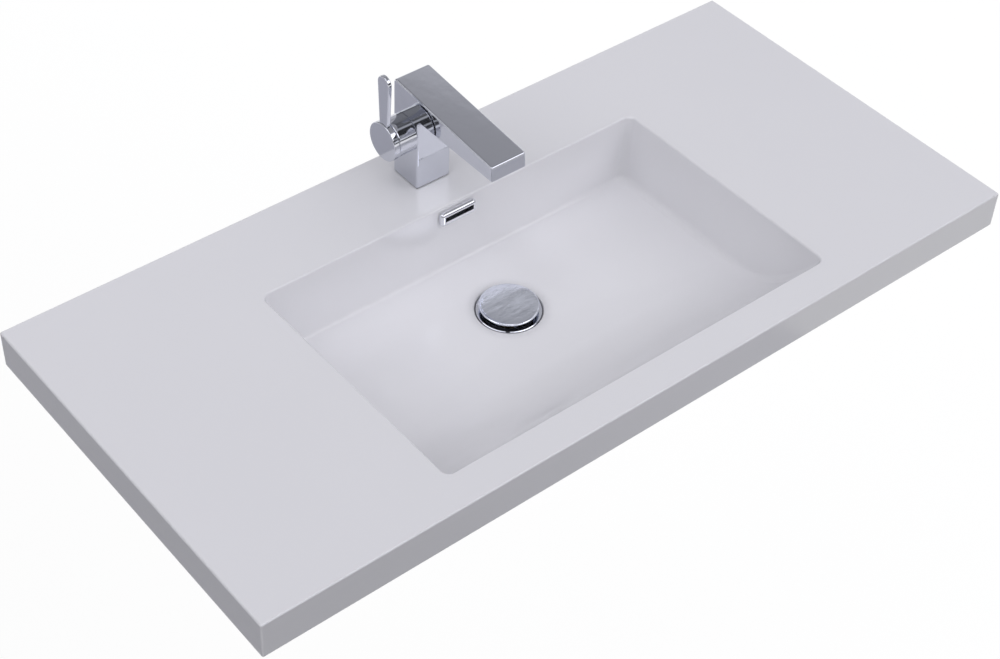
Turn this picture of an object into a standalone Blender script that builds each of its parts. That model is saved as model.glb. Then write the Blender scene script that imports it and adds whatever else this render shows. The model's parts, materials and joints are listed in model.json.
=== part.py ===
"""Vanity basin: a one-piece cast top with a rectangular bowl and an overflow,
a single-lever tap and a pop-up waste.

Metres, +Z up. The origin is in the middle of the rear rail's underside, where the top rests on its cabinet.
+X is to the right, +Y to the wall. The plug stands open, and the tap is shut with its lever upright.
"""

import math

import bmesh
import bpy
from mathutils import Vector

# Gap between pieces that touch, gap of a running fit, and overrun of a cut.
GAP = 0.0003
RUN = 0.0004
OVERRUN = 0.004
MERGE = 0.00001

# The cast top.
SLAB_WIDTH = 1.000
SLAB_DEPTH = 0.470
SLAB_HEIGHT = 0.047
SLAB_EDGE = 0.0022
DECK_THICKNESS = 0.014
SIDE_RAIL = 0.016
REAR_RAIL = 0.018
FRONT_RAIL = 0.016
POCKET_CORNER = 0.006
POCKET_RIB = 0.010

# The bowl, measured at its rim and down its walls.
BOWL_WIDTH = 0.516
BOWL_LENGTH = 0.314
BOWL_SETBACK = 0.115
BOWL_DEPTH = 0.0865
BOWL_WALL = 0.012
FLOOR_FALL = 0.0035
RIM_RADIUS = 0.0025
RIM_CORNER = 0.009
FLOOR_CORNER = 0.016
SIDE_DRAFT = 0.006
BACK_DRAFT = 0.004
SIDE_COVE = 0.009
BACK_COVE = 0.006
FRONT_SWEEP = 0.140
CORNER_STEPS = 6
SIDE_STEPS = 5
RIM_STEPS = 3
WALL_RING_SHARES = (1, 0.86, 0.7, 0.55, 0.41, 0.28, 0.19, 0.107, 0.07, 0.038, 0.016, 0.004, 0)

# The waste's seat in the bowl's floor, and the boss under it.
DRAIN_SETBACK = 0.213
RECESS_RADIUS = 0.0382
RECESS_DEPTH = 0.0075
RECESS_LIP = 0.0016
WASTE_HOLE = 0.0225
BOSS_RADIUS = 0.046
BOSS_DROP = 0.039

# The overflow: its slot, its trim and the duct down to the waste.
SLOT_DROP = 0.0133
SLOT_WIDTH = 0.0395
SLOT_HEIGHT = 0.0065
TRIM_WIDTH = 0.049
TRIM_HEIGHT = 0.0175
TRIM_PROUD = 0.0060
TRIM_RISE = -0.0011
TRIM_EDGE = 0.0040
COLLAR_WALL = 0.0012
COLLAR_LENGTH = 0.009
SLEEVE_WALL = 0.0012
SLEEVE_LENGTH = 0.0065
DUCT_WIDTH = 0.052
DUCT_SET = 0.011
DUCT_DEPTH = 0.008
DUCT_WALL = 0.006
DUCT_HEIGHT = 0.010
DUCT_DROP = 0.0125

# The waste, its fixing under the boss and its press-to-open mechanism.
FLANGE_RADIUS = 0.0373
FLANGE_EDGE = 0.0008
FLANGE_FACE = 0.0312
SEAT_RADIUS = 0.0300
SEAT_INNER = 0.0235
SEAT_DROP = 0.0035
GASKET_THICKNESS = 0.001
TUBE_RADIUS = 0.0205
TUBE_BORE = 0.0180
TUBE_LENGTH = 0.080
WINDOW_WIDTH = 0.016
SPIDER_DROP = 0.028
SPIDER_HEIGHT = 0.006
SPIDER_HUB = 0.0100
SPIDER_ARM = 0.0040
NOSE_LENGTH = 0.0033
CONE_HEIGHT = 0.006
CONE_RADIUS = 0.031
WASHER_THICKNESS = 0.002
WASHER_RADIUS = 0.029
WASTE_NUT_HEIGHT = 0.010
WASTE_NUT_RADIUS = 0.032
BARREL_SHANK = 0.0062
BARREL_FLANGE = 0.0090
BARREL_FLANGE_HEIGHT = 0.002
BARREL_HEAD = 0.0070
BARREL_BORE = 0.0046
BARREL_TOP_DROP = 0.012
BARREL_FOOT_DROP = 0.052
BARREL_FLOOR = 0.002
CLICKER_NUT_WALL = 0.0013
CLICKER_NUT_TOP = 0.003
CLICKER_NUT_SKIRT = 0.006
STEM_RADIUS = 0.0029
STEM_FOOT = 0.0019
STEM_FOOT_LENGTH = 0.020
COLLAR_HEIGHT = 0.004
ROTOR_HEIGHT = 0.0032
SPRING_WIRE = 0.0005
SPRING_TURNS = 9
TURN_POINTS = 8

# The plug's cap.
PLUG_LIFT = 0.005
CAP_RADIUS = 0.034
CAP_RIM = 0.0022
CAP_RISE = 0.0018
CAP_EDGE = 0.0007
CAP_BOSS = 0.0062
CAP_BOSS_DROP = 0.0020
STEM_GRIP = 0.0045
SEAL_INNER = 0.0245
SEAL_OUTER = 0.0285
DOME_STEPS = 6

# The tap's body and spout. Heights are from the deck.
TAP_SETBACK = 0.0525
COLUMN_WIDTH = 0.046
COLUMN_DEPTH = 0.043
SPOUT_REACH = 0.149
SPOUT_UNDER = 0.094
SPOUT_TIP_TOP = 0.113
SPOUT_BACK_TOP = 0.128
TIP_LEAN = 0.0015
INNER_FILLET = 0.007
BACK_ROUND = 0.005
BODY_EDGE = 0.0020
FOOT_SPARE = 0.005
CHANNEL_WIDTH = 0.026
CHANNEL_HEIGHT = 0.009
CHANNEL_FLOOR = 0.005
AERATOR_FROM_TIP = 0.0195
AERATOR_BORE = 0.0115
AERATOR_BORE_DEPTH = 0.010
AERATOR_WALL = 0.0014
AERATOR_PROUD = 0.0015
AERATOR_HEIGHT = 0.009
AERATOR_LEDGE = 0.0012
INSERT_HEIGHT = 0.0045
INSERT_HOLE = 0.0018
INSERT_RING = 0.0055
INSERT_HOLES = 6

# The tap's fixing through the deck.
TAP_HOLE = 0.0175
TAP_LAND = 0.018
BASE_GASKET_INSET = 0.001
STUD_RADIUS = 0.0038
STUD_OFFSET = 0.009
STUD_GRIP = 0.015
STUD_SPARE = 0.007
CLAMP_RADIUS = 0.0215
CLAMP_RUBBER = 0.003
CLAMP_PLATE = 0.0025
CLAMP_MOUTH = 0.028
CLAMP_MOUTH_START = 0.0035
STUD_NUT_RADIUS = 0.0075
STUD_NUT_HEIGHT = 0.0065
INLET_OFFSET = 0.0075
INLET_SPREAD = 0.0085
INLET_RADIUS = 0.004
TAIL_RADIUS = 0.0054
TAIL_LENGTH = 0.010

# The cartridge, along its axis from the tap's centre plane outwards to the left.
AXIS_HEIGHT = 0.0685
BORE_FLOOR = 0.002
CARTRIDGE_RADIUS = 0.0172
HOUSING_WALL = 0.0032
HOUSING_END = 0.0022
NUT_BORE = 0.0190
NUT_LENGTH = 0.007
NUT_EYE = 0.0120
BOSS_WALL = 0.0018
BODY_BOSS_END = 0.0445
SEAL_HEIGHT = 0.0016
SEAL_WIDTH = 0.0012
BASE_HEIGHT = 0.004
PORT_RISE = 0.0055
PORT_SPREAD = 0.0055
PORT_RADIUS = 0.002
OUTLET_DROP = 0.0024
OUTLET_RADIUS = 0.0028
FIXED_DISC = 0.003
MOVING_DISC = 0.0025
MOVING_DISC_RADIUS = 0.0108
MIXING_RADIUS = 0.0052
MIXING_DEPTH = 0.0014
CARRIER_HEIGHT = 0.0055
CARRIER_RADIUS = 0.0090
SWIVEL_LENGTH = 0.0106
NECK_LENGTH = 0.004
NECK_RADIUS = 0.0105
SWIVEL_SLOT = 0.0148
PIVOT_OUT = 0.026
PIN_RADIUS = 0.0015
PIN_INSET = 0.0012
SPINDLE_SIDE = 0.0070
SPINDLE_ARM = 0.0016
BALL_RADIUS = 0.0021
BALL_REACH = 0.0076
BALL_SOCKET = 0.0024
SOCKET_DEPTH = 0.0044
BAR_START = 0.0046

# The barrel cover and the handle.
COVER_RADIUS = 0.0225
COVER_WALL = 0.0014
COVER_END_WALL = 0.0017
COVER_EYE = 0.0170
COVER_EDGE = 0.0016
HUB_GAP = 0.001
HUB_RADIUS = 0.0233
HUB_LENGTH = 0.007
HUB_FACE = 0.0025
HUB_RIM_WALL = 0.002
HUB_EDGE = 0.0011
HUB_BOSS = 0.0085
HUB_BOSS_REACH = 0.002
SPINDLE_SPARE = 0.0005
GRUB_RADIUS = 0.0015
GRUB_LENGTH = 0.0045
GRUB_INSET = 0.0024
LEVER_TOP = 0.0865
LEVER_THICKNESS = 0.005
LEVER_INSET = 0.0007
LEVER_FOOT_WIDTH = 0.0138
LEVER_TOP_WIDTH = 0.0195
LEVER_EDGE = 0.0010
TENON_WIDTH = 0.008
TENON_THICKNESS = 0.003

# Places worked out from the sizes above.
DECK = SLAB_HEIGHT
BACK = REAR_RAIL / 2
FRONT = BACK - SLAB_DEPTH
RIM_BACK = BACK - BOWL_SETBACK
RIM_FRONT = RIM_BACK - BOWL_LENGTH
DRAIN_Y = BACK - DRAIN_SETBACK
TAP_Y = BACK - TAP_SETBACK
FLOOR_EDGE = DECK - BOWL_DEPTH
DRAIN_Z = FLOOR_EDGE - FLOOR_FALL
WALL_HEIGHT = BOWL_DEPTH - RIM_RADIUS
CAST_UNDER = FLOOR_EDGE - BOWL_WALL
STRIDE = GAP + GASKET_THICKNESS + GAP
TAP_FOOT = DECK + STRIDE
LAND_UNDER = DECK - TAP_LAND

# Segments of a round piece, by size.
FINE = 48
ROUND = 32
SMALL = 20
ARC = 6

QUARTER = math.pi / 2
HALF_TURN = math.pi

for leftover in list(bpy.data.objects):
    bpy.data.objects.remove(leftover, do_unlink=True)

parts = bpy.data.collections.new("vanity_basin")
cutters = bpy.data.collections.new("cutters")
bpy.context.scene.collection.children.link(parts)
bpy.context.scene.collection.children.link(cutters)
cutters.hide_render = True


def finish(name, colour, roughness, metallic=0.0):
    """A plain Principled material of one colour."""
    material = bpy.data.materials.new(name)
    material.use_nodes = True
    shader = material.node_tree.nodes["Principled BSDF"]
    shader.inputs["Base Color"].default_value = (*colour, 1.0)
    shader.inputs["Roughness"].default_value = roughness
    shader.inputs["Metallic"].default_value = metallic
    material.diffuse_color = (*colour, 1.0)
    return material


CAST = ((0.80, 0.80, 0.83), 0.18, 0.0)
CHROME = ((0.78, 0.79, 0.82), 0.07, 1.0)
BRASS = ((0.72, 0.58, 0.32), 0.32, 1.0)
STEEL = ((0.62, 0.62, 0.63), 0.35, 1.0)
BLACK_RUBBER = ((0.03, 0.03, 0.035), 0.75, 0.0)
GREY_PLASTIC = ((0.42, 0.43, 0.45), 0.5, 0.0)
WHITE_PLASTIC = ((0.82, 0.82, 0.80), 0.45, 0.0)
CERAMIC = ((0.90, 0.88, 0.84), 0.25, 0.0)


def axis_frame(name, location, rotation=(0, 0, 0), parent=None):
    """An empty that carries the pieces built about its axis."""
    frame = bpy.data.objects.new(name, None)
    frame.location = location
    frame.rotation_euler = rotation
    frame.parent = parent
    frame.empty_display_size = GASKET_THICKNESS
    parts.objects.link(frame)
    return frame


def add_piece(name, mesh, look=None, frame=None):
    """Puts a mesh in the scene as a part with its own material, or as a cutter where look is None."""
    piece = bpy.data.objects.new(name, mesh)
    piece.parent = frame
    if look is None:
        cutters.objects.link(piece)
        piece.hide_render = True
        piece.display_type = "WIRE"
    else:
        parts.objects.link(piece)
        mesh.materials.append(finish(name + "_finish", *look))
    return piece


def mesh_of(name, shape):
    """Turns a bmesh into a mesh with its faces outwards and its round sides smooth."""
    bmesh.ops.recalc_face_normals(shape, faces=shape.faces)
    mesh = bpy.data.meshes.new(name)
    shape.to_mesh(mesh)
    shape.free()
    mesh.shade_smooth()
    mesh.set_sharp_from_angle(angle=math.radians(35))
    return mesh


def block(name, low, high, look=None, frame=None):
    """A box between two corners."""
    shape = bmesh.new()
    bmesh.ops.create_cube(shape, size=1.0)
    size = [high[i] - low[i] for i in range(3)]
    bmesh.ops.scale(shape, vec=size, verts=shape.verts)
    piece = add_piece(name, mesh_of(name, shape), look, frame)
    piece.location = [(high[i] + low[i]) / 2 for i in range(3)]
    return piece


ALONG = {"X": (0, QUARTER, 0), "Y": (-QUARTER, 0, 0), "Z": (0, 0, 0)}


def rod(name, radius, start, end, look=None, frame=None, centre=(0, 0), along="Z", sides=SMALL):
    """A solid cylinder from start to end along one axis of its frame, centred on the other two."""
    shape = bmesh.new()
    bmesh.ops.create_cone(
        shape, cap_ends=True, segments=sides, radius1=radius, radius2=radius, depth=end - start
    )
    piece = add_piece(name, mesh_of(name, shape), look, frame)
    middle = (start + end) / 2
    first, second = centre
    places = {"X": (middle, first, second), "Y": (first, middle, second), "Z": (first, second, middle)}
    piece.location = places[along]
    piece.rotation_euler = ALONG[along]
    return piece


def turned(name, profile, look=None, frame=None, steps=ROUND, ring=True, centre=(0, 0, 0)):
    """A profile of (radius, height) points turned about Z. A ring's profile is closed."""
    count = len(profile)
    links = [(i, i + 1) for i in range(count - 1)]
    if ring:
        links.append((count - 1, 0))
    mesh = bpy.data.meshes.new(name)
    mesh.from_pydata([(radius, 0, height) for radius, height in profile], links, [])
    piece = add_piece(name, mesh, look, frame)
    piece.location = centre
    screw = piece.modifiers.new("turn", "SCREW")
    screw.steps = steps
    screw.render_steps = steps
    screw.use_merge_vertices = True
    screw.merge_threshold = MERGE
    screw.use_smooth_shade = True
    return piece


def arc(centre, radius, start, end, steps=ARC, squash=1.0):
    """Points on an arc, from angle start to angle end, with its second axis scaled by squash."""
    points = []
    for i in range(steps + 1):
        angle = start + (end - start) * i / steps
        points.append(
            (centre[0] + radius * math.cos(angle), centre[1] + radius * squash * math.sin(angle))
        )
    return points


def plate(name, outline, thickness, look=None, frame=None):
    """A flat outline in the frame's XY plane, thickened evenly to both sides of it."""
    curve = bpy.data.curves.new(name, "CURVE")
    curve.dimensions = "2D"
    curve.fill_mode = "BOTH"
    curve.extrude = thickness / 2
    line = curve.splines.new("POLY")
    line.points.add(len(outline) - 1)
    for point, (across, up) in zip(line.points, outline):
        point.co = (across, up, 0, 1)
    line.use_cyclic_u = True
    drawn = bpy.data.objects.new(name + "_outline", curve)
    cutters.objects.link(drawn)
    graph = bpy.context.evaluated_depsgraph_get()
    mesh = bpy.data.meshes.new_from_object(drawn.evaluated_get(graph))
    bpy.data.objects.remove(drawn, do_unlink=True)
    shape = bmesh.new()
    shape.from_mesh(mesh)
    bmesh.ops.remove_doubles(shape, verts=shape.verts, dist=MERGE)
    bmesh.ops.dissolve_limit(
        shape, angle_limit=math.radians(1), verts=shape.verts, edges=shape.edges
    )
    return add_piece(name, mesh_of(name, shape), look, frame)


def loft(name, rings, look=None, frame=None):
    """Joins rings of equal point count, first to last, and caps both ends."""
    shape = bmesh.new()
    made = [[shape.verts.new(point) for point in ring] for ring in rings]
    for upper, lower in zip(made, made[1:]):
        for i in range(len(upper)):
            j = (i + 1) % len(upper)
            shape.faces.new((upper[i], upper[j], lower[j], lower[i]))
    shape.faces.new(made[0])
    shape.faces.new(made[-1])
    return add_piece(name, mesh_of(name, shape), look, frame)


def cut(piece, cutter):
    modifier = piece.modifiers.new("cut_" + cutter.name, "BOOLEAN")
    modifier.operation = "DIFFERENCE"
    modifier.object = cutter


def join(piece, other):
    modifier = piece.modifiers.new("join_" + other.name, "BOOLEAN")
    modifier.operation = "UNION"
    modifier.object = other


def soften(piece, width, steps=2, angle=40):
    modifier = piece.modifiers.new("edges", "BEVEL")
    modifier.width = width
    modifier.segments = steps
    modifier.limit_method = "ANGLE"
    modifier.angle_limit = math.radians(angle)
    return modifier


CORNERS = ((1, 1), (-1, 1), (-1, -1), (1, -1))
TRUE_CORNER_SHARE = 1 / 3


def rounded_rectangle(left, right, front, back, corner, height):
    """A ring of points round a rectangle with round corners, anticlockwise from its right side."""
    arcs = []
    for quarter, (side, end) in enumerate(CORNERS):
        across = right - corner if side > 0 else left + corner
        along = back - corner if end > 0 else front + corner
        start = quarter * QUARTER
        arcs.append(arc((across, along), corner, start, start + QUARTER, CORNER_STEPS))
    ring = []
    for quarter in range(len(arcs)):
        ring += arcs[quarter]
        start, end = Vector(arcs[quarter][-1]), Vector(arcs[(quarter + 1) % len(arcs)][0])
        ring += [tuple(start.lerp(end, i / SIDE_STEPS)) for i in range(1, SIDE_STEPS)]
    return [(across, along, height) for across, along in ring]


def matching_circle(centre_y, radius, height):
    """A circle whose points pair with those of a rounded rectangle."""
    spread = QUARTER * TRUE_CORNER_SHARE
    ring = []
    for quarter in range(len(CORNERS)):
        first = quarter * QUARTER + (QUARTER - spread) / 2
        angles = [first + spread * i / CORNER_STEPS for i in range(CORNER_STEPS + 1)]
        gap = QUARTER - spread
        angles += [angles[-1] + gap * i / SIDE_STEPS for i in range(1, SIDE_STEPS)]
        ring += [
            (radius * math.cos(angle), centre_y + radius * math.sin(angle), height)
            for angle in angles
        ]
    return ring


def wall_inset(height, draft, cove):
    """How far a steep wall has come in from the rim at a height over the floor."""
    if height >= cove:
        return draft * (WALL_HEIGHT - height) / (WALL_HEIGHT - cove)
    return draft + cove - math.sqrt(cove * cove - (cove - height) ** 2)


def front_inset(height):
    """The same for the front wall, which sweeps up from the floor in one wide arc."""

    def reach(rise):
        return math.sqrt(2 * FRONT_SWEEP * rise - rise * rise)

    return reach(WALL_HEIGHT) - reach(height)


def bowl_rings(grow, shares):
    """The bowl's rings from the rim down to the edge of its floor. grow moves them outwards and down."""

    def ring(depth, side, back, front, corner):
        half = BOWL_WIDTH / 2 - side + grow
        low, high = RIM_FRONT + front - grow, RIM_BACK - back + grow
        return rounded_rectangle(-half, half, low, high, corner + grow, DECK - depth - grow)

    rings = []
    for i in range(RIM_STEPS):
        angle = QUARTER * i / RIM_STEPS
        flare = RIM_RADIUS * (1 - math.sin(angle))
        depth = RIM_RADIUS * (1 - math.cos(angle))
        rings.append(ring(depth, -flare, -flare, -flare, RIM_CORNER + flare))
    for share in shares:
        height = WALL_HEIGHT * share
        side = wall_inset(height, SIDE_DRAFT, SIDE_COVE)
        back = wall_inset(height, BACK_DRAFT, BACK_COVE)
        rounding = (FLOOR_CORNER - RIM_CORNER) * side / (SIDE_DRAFT + SIDE_COVE)
        depth = BOWL_DEPTH - height
        rings.append(ring(depth, side, back, front_inset(height), RIM_CORNER + rounding))
    return rings


def bowl_hollow():
    """The space of the bowl: its rim, walls, coves and floor, with the waste's recess."""
    rings = bowl_rings(0, WALL_RING_SHARES)
    mouth = [(x, y, DECK + OVERRUN) for x, y, _ in rings[0]]
    floor = [
        matching_circle(DRAIN_Y, RECESS_RADIUS + RECESS_LIP, DRAIN_Z),
        matching_circle(DRAIN_Y, RECESS_RADIUS, DRAIN_Z - RECESS_LIP),
        matching_circle(DRAIN_Y, RECESS_RADIUS, DRAIN_Z - RECESS_DEPTH),
    ]
    return loft("bowl_hollow", [mouth] + rings + floor)


def bowl_shell():
    """The outer skin of the bowl, from inside the deck down."""
    rings = bowl_rings(BOWL_WALL, WALL_RING_SHARES[::2])[RIM_STEPS:]
    start = [(x, y, DECK - DECK_THICKNESS / 2) for x, y, _ in rings[0]]
    return loft("bowl_shell", [start] + rings[1:])


def make_pockets():
    """The hollows of the underside: one in each wing, and three behind the bowl."""
    inner = BOWL_WIDTH / 2 + BOWL_WALL + POCKET_RIB
    wall = SLAB_WIDTH / 2 - SIDE_RAIL
    ceiling = DECK - DECK_THICKNESS
    back, front = BACK - REAR_RAIL, FRONT + FRONT_RAIL
    duct = DUCT_WIDTH / 2 + DUCT_WALL
    shelf = RIM_BACK + DUCT_SET + DUCT_DEPTH + DUCT_WALL
    behind = RIM_BACK + BOWL_WALL + POCKET_RIB
    pockets = []
    for side, name in ((-1, "left"), (1, "right")):
        low, high = sorted((side * inner, side * wall))
        pockets.append(block(f"wing_{name}", (low, front, -OVERRUN), (high, back, ceiling)))
        low, high = sorted((side * (duct + POCKET_RIB), side * (inner - POCKET_RIB)))
        pockets.append(block(f"rear_{name}", (low, behind, -OVERRUN), (high, back, ceiling)))
    pockets.append(block("rear_middle", (-duct, shelf, -OVERRUN), (duct, back, LAND_UNDER)))
    for pocket in pockets:
        soften(pocket, POCKET_CORNER)
    return pockets


def overflow_hole():
    """Width and height of the hole in the bowl's back wall, round collar and sleeve."""
    lining = 2 * (COLLAR_WALL + GAP + SLEEVE_WALL + GAP)
    return SLOT_WIDTH + lining, SLOT_HEIGHT + lining


def make_casting():
    """The cast top with its bowl, underside pockets, tap hole, waste boss and overflow duct."""
    casting = block(
        "basin_casting", (-SLAB_WIDTH / 2, FRONT, 0), (SLAB_WIDTH / 2, BACK, DECK), CAST
    )
    soften(casting, SLAB_EDGE, 3)
    for pocket in make_pockets():
        cut(casting, pocket)
    join(casting, bowl_shell())
    boss = rod(
        "waste_boss", BOSS_RADIUS, DRAIN_Z - BOSS_DROP, CAST_UNDER + BOWL_WALL / 2,
        centre=(0, DRAIN_Y), sides=FINE,
    )
    join(casting, boss)

    half = DUCT_WIDTH / 2
    duct_front, duct_back = RIM_BACK + DUCT_SET, RIM_BACK + DUCT_SET + DUCT_DEPTH
    duct_top = DRAIN_Z - DUCT_DROP
    duct_low = duct_top - DUCT_HEIGHT
    outside = half + DUCT_WALL
    shaft_case = block(
        "shaft_case",
        (-outside, RIM_BACK, duct_low - DUCT_WALL),
        (outside, duct_back + DUCT_WALL, DECK - DECK_THICKNESS / 2),
    )
    join(casting, shaft_case)
    floor_case = block(
        "floor_case",
        (-outside, DRAIN_Y, duct_low - DUCT_WALL),
        (outside, duct_front + DUCT_DEPTH / 2, CAST_UNDER + BOWL_WALL / 2),
    )
    join(casting, floor_case)

    cut(casting, bowl_hollow())
    _, hole_height = overflow_hole()
    shaft_top = DECK - SLOT_DROP + hole_height / 2
    cut(casting, block("duct_shaft", (-half, duct_front, duct_low), (half, duct_back, shaft_top)))
    floor_duct = block(
        "duct_floor", (-half + DUCT_WALL, DRAIN_Y, duct_low), (half - DUCT_WALL, duct_back, duct_top)
    )
    cut(casting, floor_duct)
    waste_hole = rod(
        "waste_hole", WASTE_HOLE, DRAIN_Z - BOSS_DROP - OVERRUN, DRAIN_Z,
        centre=(0, DRAIN_Y), sides=FINE,
    )
    cut(casting, waste_hole)
    tap_hole = rod(
        "tap_hole", TAP_HOLE, LAND_UNDER - OVERRUN, DECK + OVERRUN, centre=(0, TAP_Y), sides=ROUND
    )
    cut(casting, tap_hole)
    width, height = overflow_hole()
    slot = block(
        "overflow_hole",
        (-width / 2, RIM_BACK - BACK_DRAFT - OVERRUN, DECK - SLOT_DROP - height / 2),
        (width / 2, duct_front + OVERRUN, DECK - SLOT_DROP + height / 2),
    )
    cut(casting, slot)


def make_overflow():
    """The chrome trim with its slot and collar, and the rubber sleeve round the collar."""
    foot = BOWL_DEPTH - SLOT_DROP + TRIM_RISE - TRIM_HEIGHT / 2
    face = RIM_BACK - wall_inset(foot, BACK_DRAFT, BACK_COVE) - GAP
    seat = axis_frame("overflow_seat", (0, face, DECK - SLOT_DROP))
    half = TRIM_WIDTH / 2
    low, high = TRIM_RISE - TRIM_HEIGHT / 2, TRIM_RISE + TRIM_HEIGHT / 2
    deep = TRIM_EDGE + OVERRUN
    trim = block("overflow_trim", (-half, -TRIM_PROUD, low), (half, deep, high), CHROME, seat)
    soften(trim, TRIM_EDGE, 4)
    spare = block(
        "spare_back", (-TRIM_WIDTH, 0, -TRIM_HEIGHT), (TRIM_WIDTH, deep + OVERRUN, TRIM_HEIGHT), frame=seat
    )
    cut(trim, spare)
    wide, tall = SLOT_WIDTH / 2, SLOT_HEIGHT / 2
    collar = block(
        "trim_collar",
        (-wide - COLLAR_WALL, -TRIM_PROUD / 2, -tall - COLLAR_WALL),
        (wide + COLLAR_WALL, COLLAR_LENGTH, tall + COLLAR_WALL),
        frame=seat,
    )
    join(trim, collar)
    slot = block(
        "trim_slot",
        (-wide, -TRIM_PROUD - OVERRUN, -tall),
        (wide, COLLAR_LENGTH + OVERRUN, tall),
        frame=seat,
    )
    cut(trim, slot)

    inner_wide, inner_tall = wide + COLLAR_WALL + GAP, tall + COLLAR_WALL + GAP
    start = COLLAR_LENGTH - SLEEVE_LENGTH
    sleeve = block(
        "overflow_sleeve",
        (-inner_wide - SLEEVE_WALL, start, -inner_tall - SLEEVE_WALL),
        (inner_wide + SLEEVE_WALL, COLLAR_LENGTH, inner_tall + SLEEVE_WALL),
        BLACK_RUBBER,
        seat,
    )
    bore = block(
        "sleeve_bore",
        (-inner_wide, start - OVERRUN, -inner_tall),
        (inner_wide, COLLAR_LENGTH + OVERRUN, inner_tall),
        frame=seat,
    )
    cut(sleeve, bore)


def make_waste_body(drain):
    """The flange with its threaded tube, overflow windows and the spider that holds the clicker."""
    under = -RECESS_DEPTH + STRIDE
    profile = [
        (FLANGE_FACE, 0),
        (FLANGE_RADIUS - FLANGE_EDGE, 0),
        (FLANGE_RADIUS, -FLANGE_EDGE),
        (FLANGE_RADIUS, under),
        (TUBE_RADIUS, under),
        (TUBE_RADIUS, -TUBE_LENGTH),
        (TUBE_BORE, -TUBE_LENGTH),
        (TUBE_BORE, -RECESS_DEPTH),
        (SEAT_INNER, -SEAT_DROP),
        (SEAT_RADIUS, -SEAT_DROP),
    ]
    body = turned("waste_body", profile, CHROME, drain, FINE)
    arm = TUBE_BORE + (TUBE_RADIUS - TUBE_BORE) / 2
    foot = -SPIDER_DROP - SPIDER_HEIGHT
    width = SPIDER_ARM / 2
    join(body, rod("spider_hub", SPIDER_HUB, foot, -SPIDER_DROP, frame=drain))
    join(body, block("spider_across", (-arm, -width, foot), (arm, width, -SPIDER_DROP), frame=drain))
    join(body, block("spider_along", (-width, -arm, foot), (width, arm, -SPIDER_DROP), frame=drain))
    bore = BARREL_SHANK + GAP
    cut(body, rod("spider_bore", bore, foot - OVERRUN, -SPIDER_DROP + OVERRUN, frame=drain))
    reach, wide = TUBE_RADIUS + OVERRUN, WINDOW_WIDTH / 2
    low, high = -DUCT_DROP - DUCT_HEIGHT, -DUCT_DROP
    cut(body, block("windows_along", (-wide, -reach, low), (wide, reach, high), frame=drain))
    cut(body, block("windows_across", (-reach, -wide, low), (reach, wide, high), frame=drain))


def make_waste_fixing(drain):
    """What clamps the waste in the boss: seat gasket, cone gasket, washer and nut."""
    floor = -RECESS_DEPTH + GAP
    ring = TUBE_RADIUS + GAP
    top = floor + GASKET_THICKNESS
    turned(
        "flange_gasket",
        [(FLANGE_RADIUS, top), (FLANGE_RADIUS, floor), (SEAT_INNER, floor), (SEAT_INNER, top)],
        BLACK_RUBBER, drain, ROUND,
    )
    nose = WASTE_HOLE - GAP
    high = -BOSS_DROP - GAP
    low = high - CONE_HEIGHT
    cone = [
        (nose, high + NOSE_LENGTH),
        (nose, high),
        (CONE_RADIUS, high),
        (CONE_RADIUS, low),
        (ring, low),
        (ring, high + NOSE_LENGTH),
    ]
    turned("cone_gasket", cone, BLACK_RUBBER, drain, ROUND)
    high = low - GAP
    low = high - WASHER_THICKNESS
    turned(
        "waste_washer",
        [(WASHER_RADIUS, high), (WASHER_RADIUS, low), (ring, low), (ring, high)],
        WHITE_PLASTIC, drain, ROUND,
    )
    high = low - GAP
    low = high - WASTE_NUT_HEIGHT
    nut = rod("waste_nut", WASTE_NUT_RADIUS, low, high, CHROME, drain, sides=6)
    soften(nut, GASKET_THICKNESS)
    cut(nut, rod("waste_nut_bore", ring, low - OVERRUN, high + OVERRUN, frame=drain, sides=ROUND))


def make_clicker(drain):
    """The clicker's barrel, screwed into the spider, and the nut that keeps the plunger in it."""
    seat = -SPIDER_DROP + GAP
    top = -BARREL_TOP_DROP
    foot = -BARREL_FOOT_DROP
    profile = [
        (BARREL_HEAD, top),
        (BARREL_HEAD, seat + BARREL_FLANGE_HEIGHT),
        (BARREL_FLANGE, seat + BARREL_FLANGE_HEIGHT),
        (BARREL_FLANGE, seat),
        (BARREL_SHANK, seat),
        (BARREL_SHANK, foot),
        (0, foot),
        (0, foot + BARREL_FLOOR),
        (BARREL_BORE, foot + BARREL_FLOOR),
        (BARREL_BORE, top),
    ]
    turned("clicker_barrel", profile, BRASS, drain, SMALL)
    inner = BARREL_HEAD + GAP
    outer = inner + CLICKER_NUT_WALL
    under = top + GAP
    eye = STEM_RADIUS + RUN
    nut = [
        (outer, under + CLICKER_NUT_TOP),
        (outer, under - CLICKER_NUT_SKIRT),
        (inner, under - CLICKER_NUT_SKIRT),
        (inner, under),
        (eye, under),
        (eye, under + CLICKER_NUT_TOP),
    ]
    turned("clicker_nut", nut, BRASS, drain, SMALL)


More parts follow.
